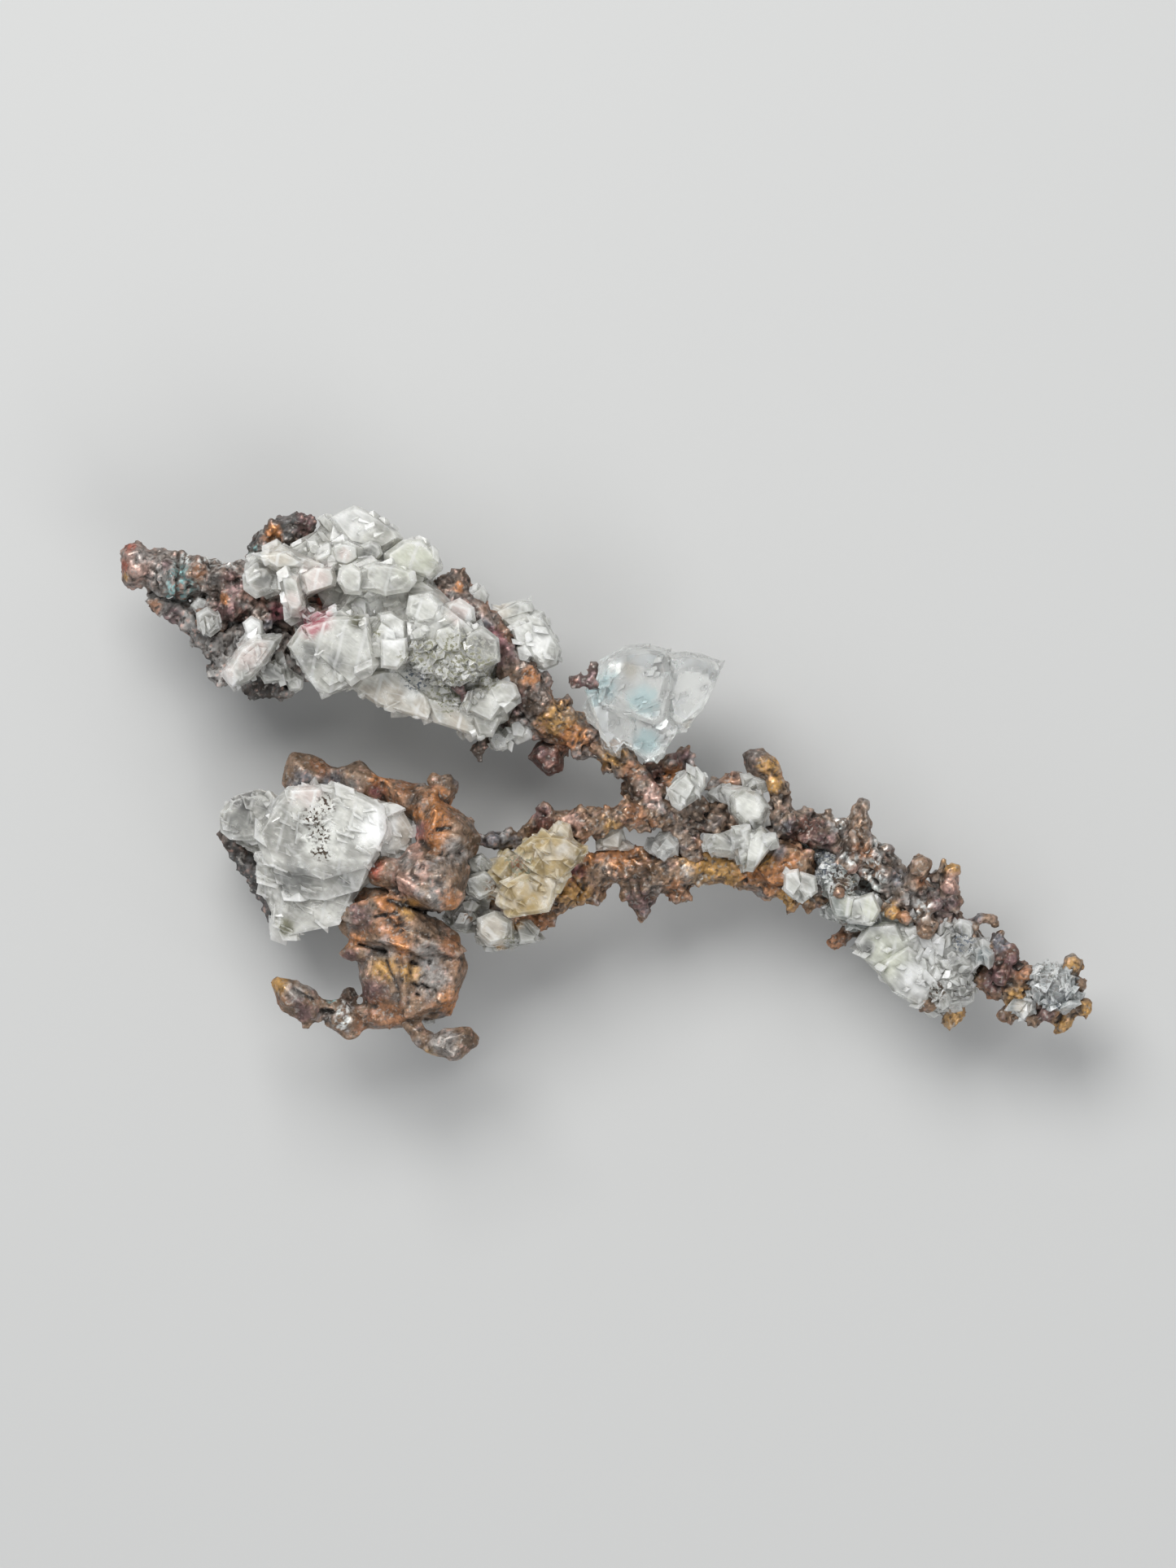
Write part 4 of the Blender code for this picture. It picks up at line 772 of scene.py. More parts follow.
def milky_look(name, lines):
    """Calcite between milky and clear, painted by its tint with its painted edge highlights and crease
    shade, with sheets of cleavage as strong as lines says, cloudy veils, fine streaks, and grains where
    its grit is painted."""
    look = Look(name)
    tint_and_shading = look.painted("tint_and_shading")
    veil = look.noise(1.6, 7)
    wisps = look.noise(0.9, 6, stretch=(0.3, 2.4, 1.0), turn=(0.5, 0.4, 0.9))
    colour = look.shaded(tint_and_shading.outputs["Color"], look.ramp(veil, 0.3, 0.6, 0.80, 1.08))
    colour = look.shaded(colour, look.ramp(wisps, 0.3, 0.7, 0.90, 1.10))
    colour = look.mixed(look.ramp(veil, 0.54, 0.72, 0.0, 0.5), colour, WHITE)
    for size, turn, strength in CLEAVAGE:
        sheets = look.ramp(look.cleavage(size, turn), 0.90, 0.99, 0.0, strength * lines)
        patch = look.ramp(look.noise(size * 1.8, 2, turn=turn), 0.46, 0.56, 0.0, 1.0)
        colour = look.mixed(look.times(sheets, patch), colour, WHITE)
    grit = look.painted("grit")
    grains = look.times(look.ramp(look.noise(0.42, 3), 0.50, 0.56, 0.0, 1.0), grit.outputs["Alpha"])
    colour = look.mixed(grains, colour, grit.outputs["Color"])
    look.drive("Base Color", colour)
    clear = look.times(tint_and_shading.outputs["Alpha"], look.ramp(grains, 0.0, 0.5, 1.0, 0.0))
    look.drive("Transmission Weight", clear)
    look.drive("Roughness", look.ramp(veil, 0.4, 0.7, 0.08, 0.34))
    look.fix(IOR=CALCITE_IOR, Subsurface_Weight=0.7)
    look.fix(Subsurface_Radius=(1.0, 1.0, 0.95), Subsurface_Scale=2.2 * MM)
    look.bump(wisps, 0.05, 0.4)
    return look.material


def clear_look(name, colour, density):
    """Clear calcite: plain glass values, a faint colour that deepens with thickness, and rougher veils."""
    look = Look(name)
    veil = look.noise(2.0, 5)
    # The painted tint holds painted highlights on the edges and painted shade in the creases.
    look.drive("Base Color", look.painted("tint_and_shading").outputs["Color"])
    look.fix(Transmission_Weight=0.82, IOR=CALCITE_IOR)
    look.drive("Roughness", look.ramp(veil, 0.45, 0.65, 0.03, 0.35))
    look.bump(look.noise(1.2), 0.05, 0.3)
    depth = look.node("VolumeAbsorption")
    depth.inputs["Color"].default_value = (*colour, 1)
    depth.inputs["Density"].default_value = density
    look.link(depth.outputs["Volume"], look.tree.nodes["Material Output"].inputs["Volume"])
    return look.material


forms_rng = random.Random(5)
BLOCKS = [cleavage_block(forms_rng) for _ in range(12)]
NUBS = [nub(True), nub(False)]
COPPER = metal_look("native copper", 0.45, 0.48, 0.35, 0.55, 0.7)
FOIL = metal_look("copper foil", 0.35, 0.52, 0.28, 0.5, 0.5)
MATRIX = metal_look("dark matrix", 0.2, 0.6, 0.4, 0.7, 0.9)
MILKY = milky_look("milky calcite", 0.85)
YELLOW = milky_look("yellow calcite", 0.3)
CLEAR = clear_look("clear calcite", (0.84, 0.91, 0.92), 22)


# --- the pieces, region by region ---
#
# The tables hold millimetres on the sheet.
# Stains and grit: x, y, radius, colour. Tints: x, y, radius, colour, how clear.
# Beads: x, y, radius, how much longer, heading, rise. Folds: x1, y1, x2, y2, width, height.
# Crystals: outline, rise, slope, share of the outline that the front takes, base height.


UPPER_ARM_STAINS = [
    (16.8, 69.6, 3.0, ROSE), (17.4, 68.4, 1.4, STEEL), (15.2, 69.6, 0.8, RED), (16.0, 67.2, 0.8, RED),
    (15.6, 71.0, 0.6, GOLD), (18.1, 70.5, 0.8, WINE), (20.6, 70.8, 3.0, STEEL), (22.4, 72.4, 1.2, ROSE),
    (22.8, 71.2, 2.0, VERDIGRIS), (21.8, 73.0, 1.8, VERDIGRIS), (20.4, 69.4, 0.8, PURPLE),
    (24.6, 70.4, 1.2, RUST), (26.4, 71.4, 1.4, IRON_GREY), (22.8, 68.5, 0.9, FROST),
    (26.0, 68.8, 1.2, FROST), (28.6, 68.8, 1.2, FROST), (29.0, 71.6, 1.6, PURPLE),
    (27.8, 75.0, 2.0, PURPLE), (29.8, 75.4, 1.2, WINE), (27.6, 73.6, 0.6, ORANGE),
    (25.0, 73.6, 1.2, STEEL), (31.4, 73.0, 1.4, ROSE), (34.2, 75.4, 1.4, MAGENTA),
    (33.2, 77.0, 1.0, SLATE), (40.0, 73.7, 1.2, RED), (41.4, 72.8, 1.0, SLATE), (56.6, 71.2, 1.6, UMBER),
    (56.4, 72.4, 0.8, ORANGE), (56.4, 75.2, 2.0, PURPLE), (58.8, 77.4, 1.8, SLATE),
    (60.4, 79.0, 1.4, MAGENTA), (61.4, 81.0, 2.2, PURPLE), (62.6, 83.4, 2.0, BROWN),
    (65.2, 83.2, 1.4, ORANGE), (63.4, 86.4, 2.0, PURPLE), (65.4, 86.6, 1.8, UMBER),
    (64.4, 89.2, 1.6, STEEL), (69.0, 89.4, 2.8, GOLD), (70.6, 90.4, 2.0, ORANGE), (67.2, 93.2, 3.4, WINE),
    (66.4, 92.4, 0.7, PURPLE), (58.8, 92.0, 2.2, UMBER), (56.8, 85.0, 1.6, PURPLE),
    (72.4, 83.8, 2.2, PURPLE), (70.4, 83.8, 0.9, WINE),
]


def grow_upper_copper(rng):
    """The upper arm with the sprout, and the fork."""
    copper_piece(
        "upper_arm_copper", ["copper_upper_arm", "copper_sprout"], COPPER, (0.155, 0.122, 0.103),
        UPPER_ARM_STAINS, rng,
        bare=[(17.0, 69.4, 2.4), (67.2, 93.2, 2.4), (61.4, 80.2, 2.4), (63.4, 86.0, 1.4)],
        beads=[
            (40.0, 73.7, 0.9), (41.4, 72.8, 0.7, 1.5), (56.0, 84.2, 0.8, 2.2, -50, 0.1),
            (57.4, 86.0, 0.8, 1.4, -60, 0.1)])
    copper_piece(
        "fork_copper", ["copper_fork"], COPPER, BROWN,
        [
            (75.6, 92.8, 1.8, GOLD), (77.8, 94.8, 1.8, RUST), (80.4, 95.2, 1.8, WINE),
            (83.6, 93.4, 1.6, PURPLE), (83.0, 95.2, 1.4, ORANGE), (77.8, 97.0, 1.6, UMBER),
            (80.0, 98.0, 1.6, ROSE)],
        rng)


RIGHT_ARM_STAINS = [
    (86.0, 99.8, 2.0, UMBER), (88.4, 98.2, 1.6, BROWN), (92.0, 93.2, 1.8, IRON_GREY),
    (94.6, 94.2, 1.2, GOLD), (95.2, 96.6, 1.2, GOLD), (93.4, 98.0, 1.2, GOLD), (96.2, 97.6, 0.8, UMBER),
    (96.8, 101.8, 1.2, SLATE), (99.4, 102.0, 2.4, WINE), (101.6, 103.4, 1.4, PURPLE),
    (103.4, 100.8, 1.3, FROST), (105.4, 101.4, 1.4, BROWN), (103.8, 104.3, 1.2, BLACK),
    (106.2, 104.6, 1.4, RUST), (105.2, 107.2, 1.2, ROSE), (104.4, 105.6, 1.0, FROST),
    (107.0, 106.6, 1.4, FROST), (109.4, 106.0, 1.2, UMBER), (108.6, 109.0, 1.8, STEEL),
    (110.4, 107.8, 1.2, SLATE), (113.0, 106.4, 1.9, BROWN), (113.0, 108.6, 1.0, RUST),
    (116.8, 106.4, 1.2, GOLD), (116.8, 108.6, 1.4, ROSE), (115.8, 111.4, 2.0, PURPLE),
    (113.0, 112.0, 1.6, FROST), (109.6, 112.2, 1.4, GOLD), (111.0, 112.6, 1.0, RUST),
    (106.6, 108.4, 1.6, FROST), (110.8, 105.4, 1.3, STEEL), (108.0, 103.8, 1.0, FROST),
    (111.6, 110.2, 1.4, STEEL), (101.2, 105.4, 1.2, STEEL), (114.0, 114.2, 2.0, BROWN),
    (121.4, 113.4, 2.4, BROWN), (119.6, 112.4, 1.0, SLATE), (102.8, 115.4, 1.6, RUST),
    (113.9, 123.2, 1.8, BROWN), (117.2, 125.2, 2.0, GOLD),
]
RIGHT_ARM_BEADS = [
    (113.0, 106.5, 1.45, 1.0, 0, 0.4), (112.4, 108.6, 0.75, 1.4, 70), (116.9, 107.0, 1.0, 1.2, 40),
    (116.6, 109.0, 1.1, 1.0, 0), (115.9, 105.9, 0.45, 1.2, 80), (114.7, 107.8, 0.6), (104.4, 106.4, 1.1),
    (105.4, 105.6, 0.8), (104.9, 103.8, 0.65, 1.6, 80), (102.9, 109.7, 0.8), (106.0, 99.0, 0.95, 1.1, 70),
    (106.5, 101.4, 0.7, 1.5, 80), (107.2, 103.4, 0.7, 1.5, -60), (109.0, 104.4, 0.8, 1.2, -30),
    (109.6, 112.0, 1.1), (111.2, 112.8, 0.9, 1.2, -20), (108.4, 111.4, 0.8), (113.6, 114.4, 1.1),
    (114.6, 111.2, 0.9, 1.6, 20), (116.2, 111.6, 0.9, 1.6, -60), (102.2, 103.0, 0.9), (98.4, 100.8, 0.9),
    (99.8, 103.6, 0.8), (95.0, 96.4, 0.9, 1.7, -70, 0.2), (119.6, 115.2, 0.5, 1.5, 80),
    (119.7, 113.8, 0.6, 1.3, 70), (120.5, 112.9, 0.65, 1.3, 20), (121.6, 112.8, 0.75),
    (122.2, 113.5, 0.6),
]


def grow_right_copper(rng):
    """The right arm with its knobs and stalks, and the end."""
    copper_piece(
        "right_arm_copper", ["copper_right_arm", "copper_spur_left", "copper_spur_right"], COPPER,
        (0.195, 0.145, 0.110), RIGHT_ARM_STAINS, rng,
        bare=[
            (113.0, 106.4, 2.0), (116.8, 107.8, 1.6), (121.4, 113.4, 2.0), (93.4, 93.6, 2.4),
            (95.4, 96.4, 1.4)],
        beads=RIGHT_ARM_BEADS)
    copper_piece(
        "end_copper", ["copper_tip"], COPPER, BROWN,
        [
            (123.2, 118.4, 2.8, WINE), (122.4, 120.6, 1.6, PURPLE), (122.8, 115.8, 1.2, SLATE),
            (124.6, 118.2, 1.2, PURPLE), (125.8, 119.8, 1.2, RUST), (124.8, 122.6, 1.6, GOLD),
            (131.8, 118.4, 1.3, GOLD), (132.8, 121.0, 1.0, BROWN), (131.0, 125.6, 2.0, GOLD),
            (133.6, 123.8, 1.2, GOLD), (128.6, 124.4, 1.6, PURPLE)],
        rng,
        beads=[
            (131.6, 118.6, 1.2, 1.1, 60), (132.6, 120.9, 0.7), (133.5, 123.9, 0.9),
            (131.0, 125.8, 0.9, 1.5, 45), (129.0, 124.4, 1.0, 1.4, 10), (124.2, 117.6, 1.1),
            (122.8, 120.2, 1.1), (126.0, 119.8, 0.9, 1.4, 0)])


LOWER_ARM_STAINS = [
    (61.4, 109.6, 1.4, GOLD), (66.6, 112.8, 1.4, RUST), (70.4, 107.4, 1.6, MAGENTA),
    (72.6, 105.0, 1.8, ORANGE), (70.4, 109.6, 2.0, GOLD), (74.6, 104.6, 2.0, RUST),
    (77.0, 105.2, 2.4, ORANGE), (73.6, 107.6, 1.6, BROWN), (78.4, 107.8, 2.4, UMBER),
    (79.0, 111.0, 2.2, PURPLE), (80.4, 109.2, 1.4, IRON_GREY), (82.4, 105.8, 1.8, BROWN),
    (83.0, 109.4, 1.4, RUST), (86.6, 106.2, 3.0, GOLD), (89.8, 107.0, 2.4, GOLD),
    (86.2, 108.2, 0.8, FROST), (92.4, 107.4, 1.8, ORANGE), (95.4, 107.0, 2.6, ORANGE),
    (93.8, 105.6, 1.2, GOLD), (95.6, 104.6, 1.0, SLATE), (98.8, 109.6, 1.6, GOLD),
    (96.6, 110.6, 1.4, GOLD),
]


def grow_lower_copper(rng):
    """The lower arm and the bridge."""
    copper_piece(
        "lower_arm_copper", ["copper_lower_arm"], COPPER, (0.20, 0.125, 0.075), LOWER_ARM_STAINS, rng,
        knobs=(0.1, 0.4, 0.8), bare=[(87.4, 106.6, 2.4), (96.0, 106.6, 3.0), (74.6, 105.0, 1.6)])
    copper_piece(
        "bridge_copper", ["copper_bridge"], COPPER, BROWN,
        [
            (66.4, 99.6, 1.4, PURPLE), (67.0, 101.4, 1.6, WINE), (61.2, 103.2, 2.2, SLATE),
            (62.0, 102.4, 0.8, STEEL), (70.6, 101.0, 1.4, ROSE), (73.0, 100.4, 1.6, BROWN),
            (75.0, 101.6, 1.2, GOLD), (78.0, 100.0, 1.6, RUST)],
        rng,
        beads=[
            (67.2, 99.3, 0.6, 1.8, -60), (66.9, 101.4, 1.1), (60.6, 103.3, 0.9), (61.9, 103.0, 0.8),
            (62.8, 104.0, 0.6)])


PLATE_STAINS = [
    (36.0, 94.6, 2.4, BROWN), (37.4, 96.4, 1.8, SLATE), (41.0, 96.4, 2.4, SLATE), (39.6, 94.0, 1.6, RUST),
    (43.6, 94.6, 2.0, BROWN), (46.6, 97.2, 0.9, MAGENTA), (49.4, 96.8, 2.2, RUST),
    (47.4, 96.0, 1.4, ORANGE), (52.6, 98.6, 0.7, VERDIGRIS), (51.0, 98.4, 1.1, UMBER),
    (51.4, 100.0, 1.1, ORANGE), (54.6, 96.2, 1.2, UMBER), (53.8, 98.2, 1.4, ORANGE),
    (53.8, 100.6, 1.8, ORANGE), (51.8, 102.4, 1.4, MAGENTA), (53.6, 103.2, 2.2, ORANGE),
    (51.0, 104.6, 1.4, ROSE), (57.2, 102.8, 2.2, BROWN), (56.0, 104.8, 1.8, STEEL),
    (58.6, 103.6, 0.9, UMBER), (49.6, 106.0, 1.6, STEEL), (48.6, 104.8, 1.0, ROSE),
    (46.2, 106.8, 1.2, RED), (48.2, 107.4, 1.4, BROWN), (52.2, 107.2, 1.3, ROSE),
    (50.0, 108.6, 2.0, ROSE), (55.4, 107.8, 2.2, BROWN), (54.0, 110.4, 1.6, STEEL),
    (55.6, 110.6, 1.4, ORANGE), (47.4, 111.0, 1.7, ORANGE), (44.0, 112.4, 1.8, PURPLE),
    (44.6, 110.4, 1.0, RUST), (50.4, 111.6, 1.4, GOLD), (48.0, 113.6, 1.8, RUST),
    (52.6, 114.4, 2.2, BROWN), (49.0, 115.8, 1.6, ORANGE), (43.6, 115.4, 1.4, ORANGE),
    (43.0, 117.4, 1.0, PURPLE), (47.2, 119.0, 1.8, GOLD), (45.8, 121.8, 1.8, PURPLE),
    (47.2, 116.6, 1.4, STEEL), (52.6, 117.2, 1.8, STEEL), (55.6, 115.8, 1.4, RUST),
    (53.0, 120.2, 2.2, STEEL), (50.4, 119.6, 1.2, GOLD), (55.2, 122.8, 1.6, ORANGE),
    (47.4, 124.4, 2.2, RUST), (34.4, 120.8, 1.2, GOLD), (36.8, 121.8, 1.4, STEEL),
    (37.4, 124.2, 1.6, PURPLE), (40.8, 122.9, 0.6, VERDIGRIS), (43.0, 122.3, 1.6, BLACK),
    (42.2, 125.0, 1.3, FROST), (44.6, 126.0, 1.4, RUST), (53.0, 129.4, 0.9, GOLD),
    (54.6, 128.0, 2.2, STEEL), (57.4, 127.8, 1.4, UMBER),
]
PLATE_FOLDS = [
    (50.8, 103.2, 53.8, 101.6, 0.8, 0.35), (53.8, 101.9, 55.4, 101.7, 0.35, -0.6),
    (53.6, 99.4, 53.4, 101.4, 0.7, 0.3), (47.6, 109.6, 51.0, 110.6, 0.7, 0.4),
    (47.8, 110.6, 51.4, 111.8, 0.45, -0.7), (50.4, 111.4, 55.0, 112.6, 0.6, -1.4),
    (46.0, 109.4, 48.6, 109.7, 0.4, 0.3), (46.2, 112.6, 48.8, 112.2, 0.35, -0.4),
    (43.6, 115.2, 50.2, 116.4, 0.8, 0.55), (44.2, 116.0, 47.4, 116.9, 0.4, -0.9),
    (49.0, 114.0, 54.4, 116.2, 0.7, 0.35), (50.0, 116.8, 49.6, 123.4, 0.6, 0.6),
    (46.6, 118.4, 48.6, 120.6, 0.45, 0.5), (47.6, 118.0, 49.0, 121.4, 0.4, -0.45),
    (45.4, 118.2, 44.8, 122.4, 0.5, 0.4), (35.0, 121.2, 37.6, 123.6, 0.5, 0.4),
    (36.2, 121.4, 38.6, 122.8, 0.35, -0.4), (50.6, 118.2, 51.2, 118.4, 0.5, -1.1),
    (51.0, 120.8, 51.4, 121.2, 0.5, -1.4), (51.9, 120.9, 52.6, 121.3, 0.5, -1.4),
    (51.2, 122.0, 51.6, 122.2, 0.35, -1.0), (52.8, 118.1, 52.8, 118.3, 0.35, -0.9),
    (49.9, 110.9, 50.3, 111.0, 0.3, -0.5), (39.9, 124.2, 40.8, 124.3, 0.5, -1.4),
    (51.4, 127.4, 56.0, 129.4, 0.6, 0.35), (51.6, 106.4, 52.6, 106.4, 0.4, 0.3),
]


def grow_plate(rng):
    """The folded plate with its prong, tail and foot."""
    copper_piece(
        "plate_copper",
        ["copper_plate_upper", "copper_plate_lower", "copper_prong", "copper_tail", "copper_foot"], FOIL,
        BROWN, PLATE_STAINS, rng, crust=(0.5, 0.12, 0.3), knobs=(0.02, 0.3, 0.6), soften=4, warp=0.3,
        lumps=0.1, grain=0.035, mottle=0.8, voxel=0.25, lines=PLATE_FOLDS)


def grow_matrix(rng):
    """The dark fin, and the matrix at the root and along the rim."""
    copper_piece(
        "dark_fin", ["copper_fin"], COPPER, IRON_GREY,
        [
            (33.8, 65.6, 1.1, ORANGE), (31.8, 68.4, 1.2, VERDIGRIS), (37.6, 64.4, 1.6, PURPLE),
            (36.0, 67.6, 1.6, UMBER)],
        rng, mottle=0.5)
    copper_piece(
        "root_matrix", ["matrix_root"], MATRIX, STEEL,
        [
            (19.0, 74.6, 1.2, RUST), (21.0, 75.6, 1.6, PURPLE), (24.6, 77.6, 1.6, IRON_GREY),
            (27.0, 80.6, 2.4, STEEL), (32.4, 84.8, 2.6, BLACK), (30.4, 79.6, 1.8, IRON_GREY),
            (25.0, 81.4, 1.2, BLACK)],
        rng, mottle=0.4)
    copper_piece(
        "rim_matrix", ["matrix_rim"], MATRIX, IRON_GREY, [(35.0, 114.4, 1.4, STEEL)], rng,
        crust=(2.5, 0.2, 0.5), mottle=0.4)


# Two of these tints are painted highlights: the white spots at 43.4, 64.4 and at 45.4, 74.4.
UPPER_MASS_TINTS_AND_HIGHLIGHTS = [
    (39.0, 76.6, 2.2, ROSE_THROUGH, 0.2), (36.0, 74.2, 1.4, BLUSH, 0.3), (38.8, 71.2, 2.4, BLUSH, 0.3),
    (33.0, 70.6, 2.0, SMOKE, 0.5), (34.0, 68.8, 2.2, BEIGE, 0.3), (45.2, 85.6, 2.2, BEIGE, 0.3),
    (48.4, 85.6, 2.4, BEIGE, 0.3), (52.0, 87.4, 2.6, BEIGE, 0.3), (56.0, 89.6, 2.6, BEIGE, 0.3),
    (41.6, 81.4, 1.4, SMOKE, 0.6), (38.4, 80.6, 1.6, SMOKE, 0.6), (43.6, 78.6, 3.0, MILK, 0.4),
    (44.2, 76.2, 1.2, OLIVE_GREY, 0.5), (45.6, 67.8, 1.2, SMOKE, 0.7), (47.4, 71.2, 1.8, MILK, 0.4),
    (51.0, 69.0, 2.6, GREENISH, 0.45), (43.4, 64.4, 3.0, WHITE, 0.45), (45.4, 74.4, 1.7, WHITE, 0.1),
    (48.4, 78.6, 1.8, WHITE, 0.25), (56.8, 75.0, 2.0, BLUSH, 0.3), (52.0, 76.0, 3.0, MILK, 0.3),
    (42.4, 68.4, 0.9, BLUSH, 0.3),
]
UPPER_MASS_CRYSTALS = [
    ([(40.3, 63.6), (43.6, 62.1), (45.9, 63.2), (47.9, 64.6), (49.1, 65.5), (49.7, 66.4), (47.2, 67.9),
      (44.8, 66.7), (42.8, 66.9), (41.9, 65.3)], 0.6, (0.05, 0.1), 0.8),
    ([(49.7, 66.4), (52.0, 66.4), (52.5, 67.5), (53.4, 68.0), (54.2, 69.4), (54.0, 70.3), (53.1, 71.3),
      (51.4, 70.4), (47.2, 69.6), (47.2, 68.2)], 0.6, (-0.1, 0.05), 0.8),
    ([(44.7, 69.8), (46.0, 69.3), (49.0, 69.6), (51.2, 70.4), (51.4, 71.6), (50.4, 72.9), (47.6, 73.4),
      (45.4, 72.8), (44.6, 71.2)], 0.3, (0.0, 0.1)),
    ([(41.9, 70.0), (43.4, 69.4), (44.8, 70.2), (44.9, 71.6), (44.6, 73.3), (42.6, 73.2), (41.6, 71.6)],
      0.7, (0.1, 0.0)),
    ([(34.3, 70.3), (35.9, 70.1), (36.9, 70.7), (37.4, 73.1), (37.9, 75.1), (37.2, 76.0), (36.0, 76.0),
      (35.2, 74.6), (34.7, 72.0)], 1.0, (0.0, 0.1), 0.6),
    ([(31.0, 68.2), (33.4, 67.8), (35.7, 67.9), (38.3, 69.4), (37.4, 70.0), (34.3, 70.3), (32.6, 69.3)],
      0.8, (0.05, 0.1), 0.65),
    ([(36.9, 70.7), (38.6, 69.6), (41.2, 69.8), (41.6, 71.3), (41.4, 72.2), (39.7, 72.7), (37.6, 73.4)],
      0.7, (0.12, 0.0)),
    ([(29.9, 70.8), (31.2, 69.4), (33.4, 69.4), (34.5, 70.8), (33.8, 72.9), (31.6, 73.7), (30.1, 72.6)],
      0.3, (-0.1, 0.1), 0.6),
    ([(35.5, 79.4), (37.2, 77.0), (38.9, 80.0), (40.9, 81.5), (43.4, 84.4), (40.7, 85.3), (39.0, 85.0),
      (37.6, 82.7)], 0.2, (-0.1, 0.15), 0.85),
    ([(37.2, 77.0), (41.0, 75.9), (45.5, 75.5), (46.6, 82.2), (43.4, 84.5), (40.7, 81.7), (38.6, 80.3)],
      0.6, (0.0, 0.08), 0.86),
    ([(46.6, 75.5), (48.2, 75.2), (50.0, 76.4), (50.2, 79.0), (46.9, 79.1)], 1.0, (0.05, 0.05), 0.8),
    ([(46.9, 78.6), (50.2, 78.5), (50.4, 81.0), (49.0, 82.4), (47.0, 82.2)], 0.5, (0.05, 0.1), 0.8),
    ([(43.3, 84.6), (44.3, 83.1), (46.0, 83.4), (47.2, 82.3), (49.0, 82.4), (51.0, 84.1), (52.9, 85.8),
      (53.3, 88.8), (51.3, 87.9), (48.6, 87.1), (46.6, 86.8)], 0.4, (0.0, 0.12), 0.85),
    ([(52.0, 85.4), (55.5, 86.3), (57.9, 87.4), (59.1, 90.7), (57.9, 90.2), (55.9, 88.8), (53.3, 88.8)],
      0.3, (0.0, 0.12), 0.8),
    ([(59.8, 84.6), (61.4, 83.6), (63.4, 84.0), (64.0, 85.6), (62.8, 86.8), (60.6, 86.6)], 0.4, (0.1, 0)),
    ([(57.8, 88.0), (60.2, 86.6), (61.8, 88.2), (60.6, 90.6), (58.8, 90.6)], 0.3, (0.0, 0.1)),
    ([(60.1, 90.0), (61.4, 89.8), (62.5, 90.8), (62.4, 92.0), (61.0, 92.3), (60.2, 91.4)], 0.3),
    ([(62.6, 88.6), (63.8, 88.4), (64.8, 89.6), (64.4, 90.8), (62.9, 90.6)], 0.3),
    ([(50.4, 73.4), (53.0, 73.0), (54.6, 74.4), (54.0, 76.4), (51.4, 77.0), (50.0, 75.6)], 0.3, (0.1, 0)),
    ([(54.8, 74.4), (56.6, 73.6), (58.4, 74.8), (58.6, 76.6), (56.4, 77.4), (54.6, 76.4)], 0.3, (0.1, 0)),
    ([(53.6, 77.4), (55.4, 76.8), (57.2, 78.0), (56.8, 80.2), (54.6, 80.6), (53.2, 79.2)], 0.5, (0, 0.1)),
    ([(57.0, 78.0), (59.4, 77.0), (61.4, 78.6), (61.6, 81.4), (59.0, 82.6), (57.0, 80.8)], 0.5,
      (0.1, 0.1), 0.8),
    ([(44.6, 74.2), (45.6, 72.6), (48.0, 72.8), (48.6, 75.0), (46.6, 76.2), (44.8, 75.8)], 0.8,
      (0.2, 0.3), 0.8, 20.5),
    ([(47.4, 73.2), (50.2, 72.4), (52.0, 73.6), (51.6, 75.6), (49.0, 76.4), (47.4, 75.4)], 0.6,
      (-0.1, 0.2), 0.8, 21.0),
    ([(42.2, 74.0), (43.6, 73.0), (45.4, 73.6), (45.4, 76.0), (43.0, 76.6), (41.6, 75.6)], 0.5,
      (0.1, -0.1), 0.8, 21.0),
    ([(43.8, 72.8), (45.6, 72.2), (46.4, 73.6), (44.8, 74.6), (43.4, 74.0)], 0.8, (0, 0), 0.8, 20.5),
    ([(44.4, 67.2), (45.6, 66.6), (46.8, 67.0), (47.2, 68.2), (46.4, 69.2), (45.0, 69.1)], 0.6),
    ([(39.0, 63.8), (39.8, 63.2), (41.2, 64.4), (41.8, 65.5), (41.0, 66.0), (39.7, 64.8)], 0.5),
    ([(38.8, 65.1), (39.7, 65.3), (40.7, 66.5), (41.0, 67.5), (39.7, 66.7)], 0.5),
    ([(37.6, 66.3), (39.0, 66.4), (39.7, 67.6), (39.6, 68.6), (38.2, 68.2)], 0.5),
    ([(41.0, 67.4), (42.4, 66.8), (44.2, 67.2), (44.4, 68.8), (42.8, 69.8), (41.2, 69.4)], 0.4),
    ([(38.6, 68.4), (40.6, 67.2), (41.6, 68.4), (41.2, 69.8), (38.8, 69.8)], 0.3),
]


def grow_upper_calcite(rng):
    """The large mass on the upper arm."""
    calcite_piece(
        "upper_mass_crystals", ["calcite_upper_mass"], MILKY, PALE, 0.55, rng, spots=UPPER_MASS_TINTS_AND_HIGHLIGHTS,
        specks=[
            (52.6, 81.6, 3.4, OLIVE_GREY), (56.6, 81.0, 3.4, OLIVE_GREY), (55.0, 85.4, 2.6, OLIVE_GREY),
            (59.6, 82.8, 2.4, OLIVE_GREY), (51.0, 83.6, 1.8, SLATE), (46.6, 78.0, 0.8, OLIVE_GREY)],
        outlined=UPPER_MASS_CRYSTALS, close=0.9, depth=5.0, steps=(0.07, 1.0, 2.6, 0.34, 0.2),
        sugar=(1.2, 0.6, 1.6), longest=0.55,
        sugar_where=within(
            (52.0, 79.8, 2.4), (54.4, 82.4, 3.0), (57.6, 83.8, 2.8), (50.6, 77.4, 1.8), (45.0, 74.4, 1.6),
            (56.0, 85.6, 2.4)))


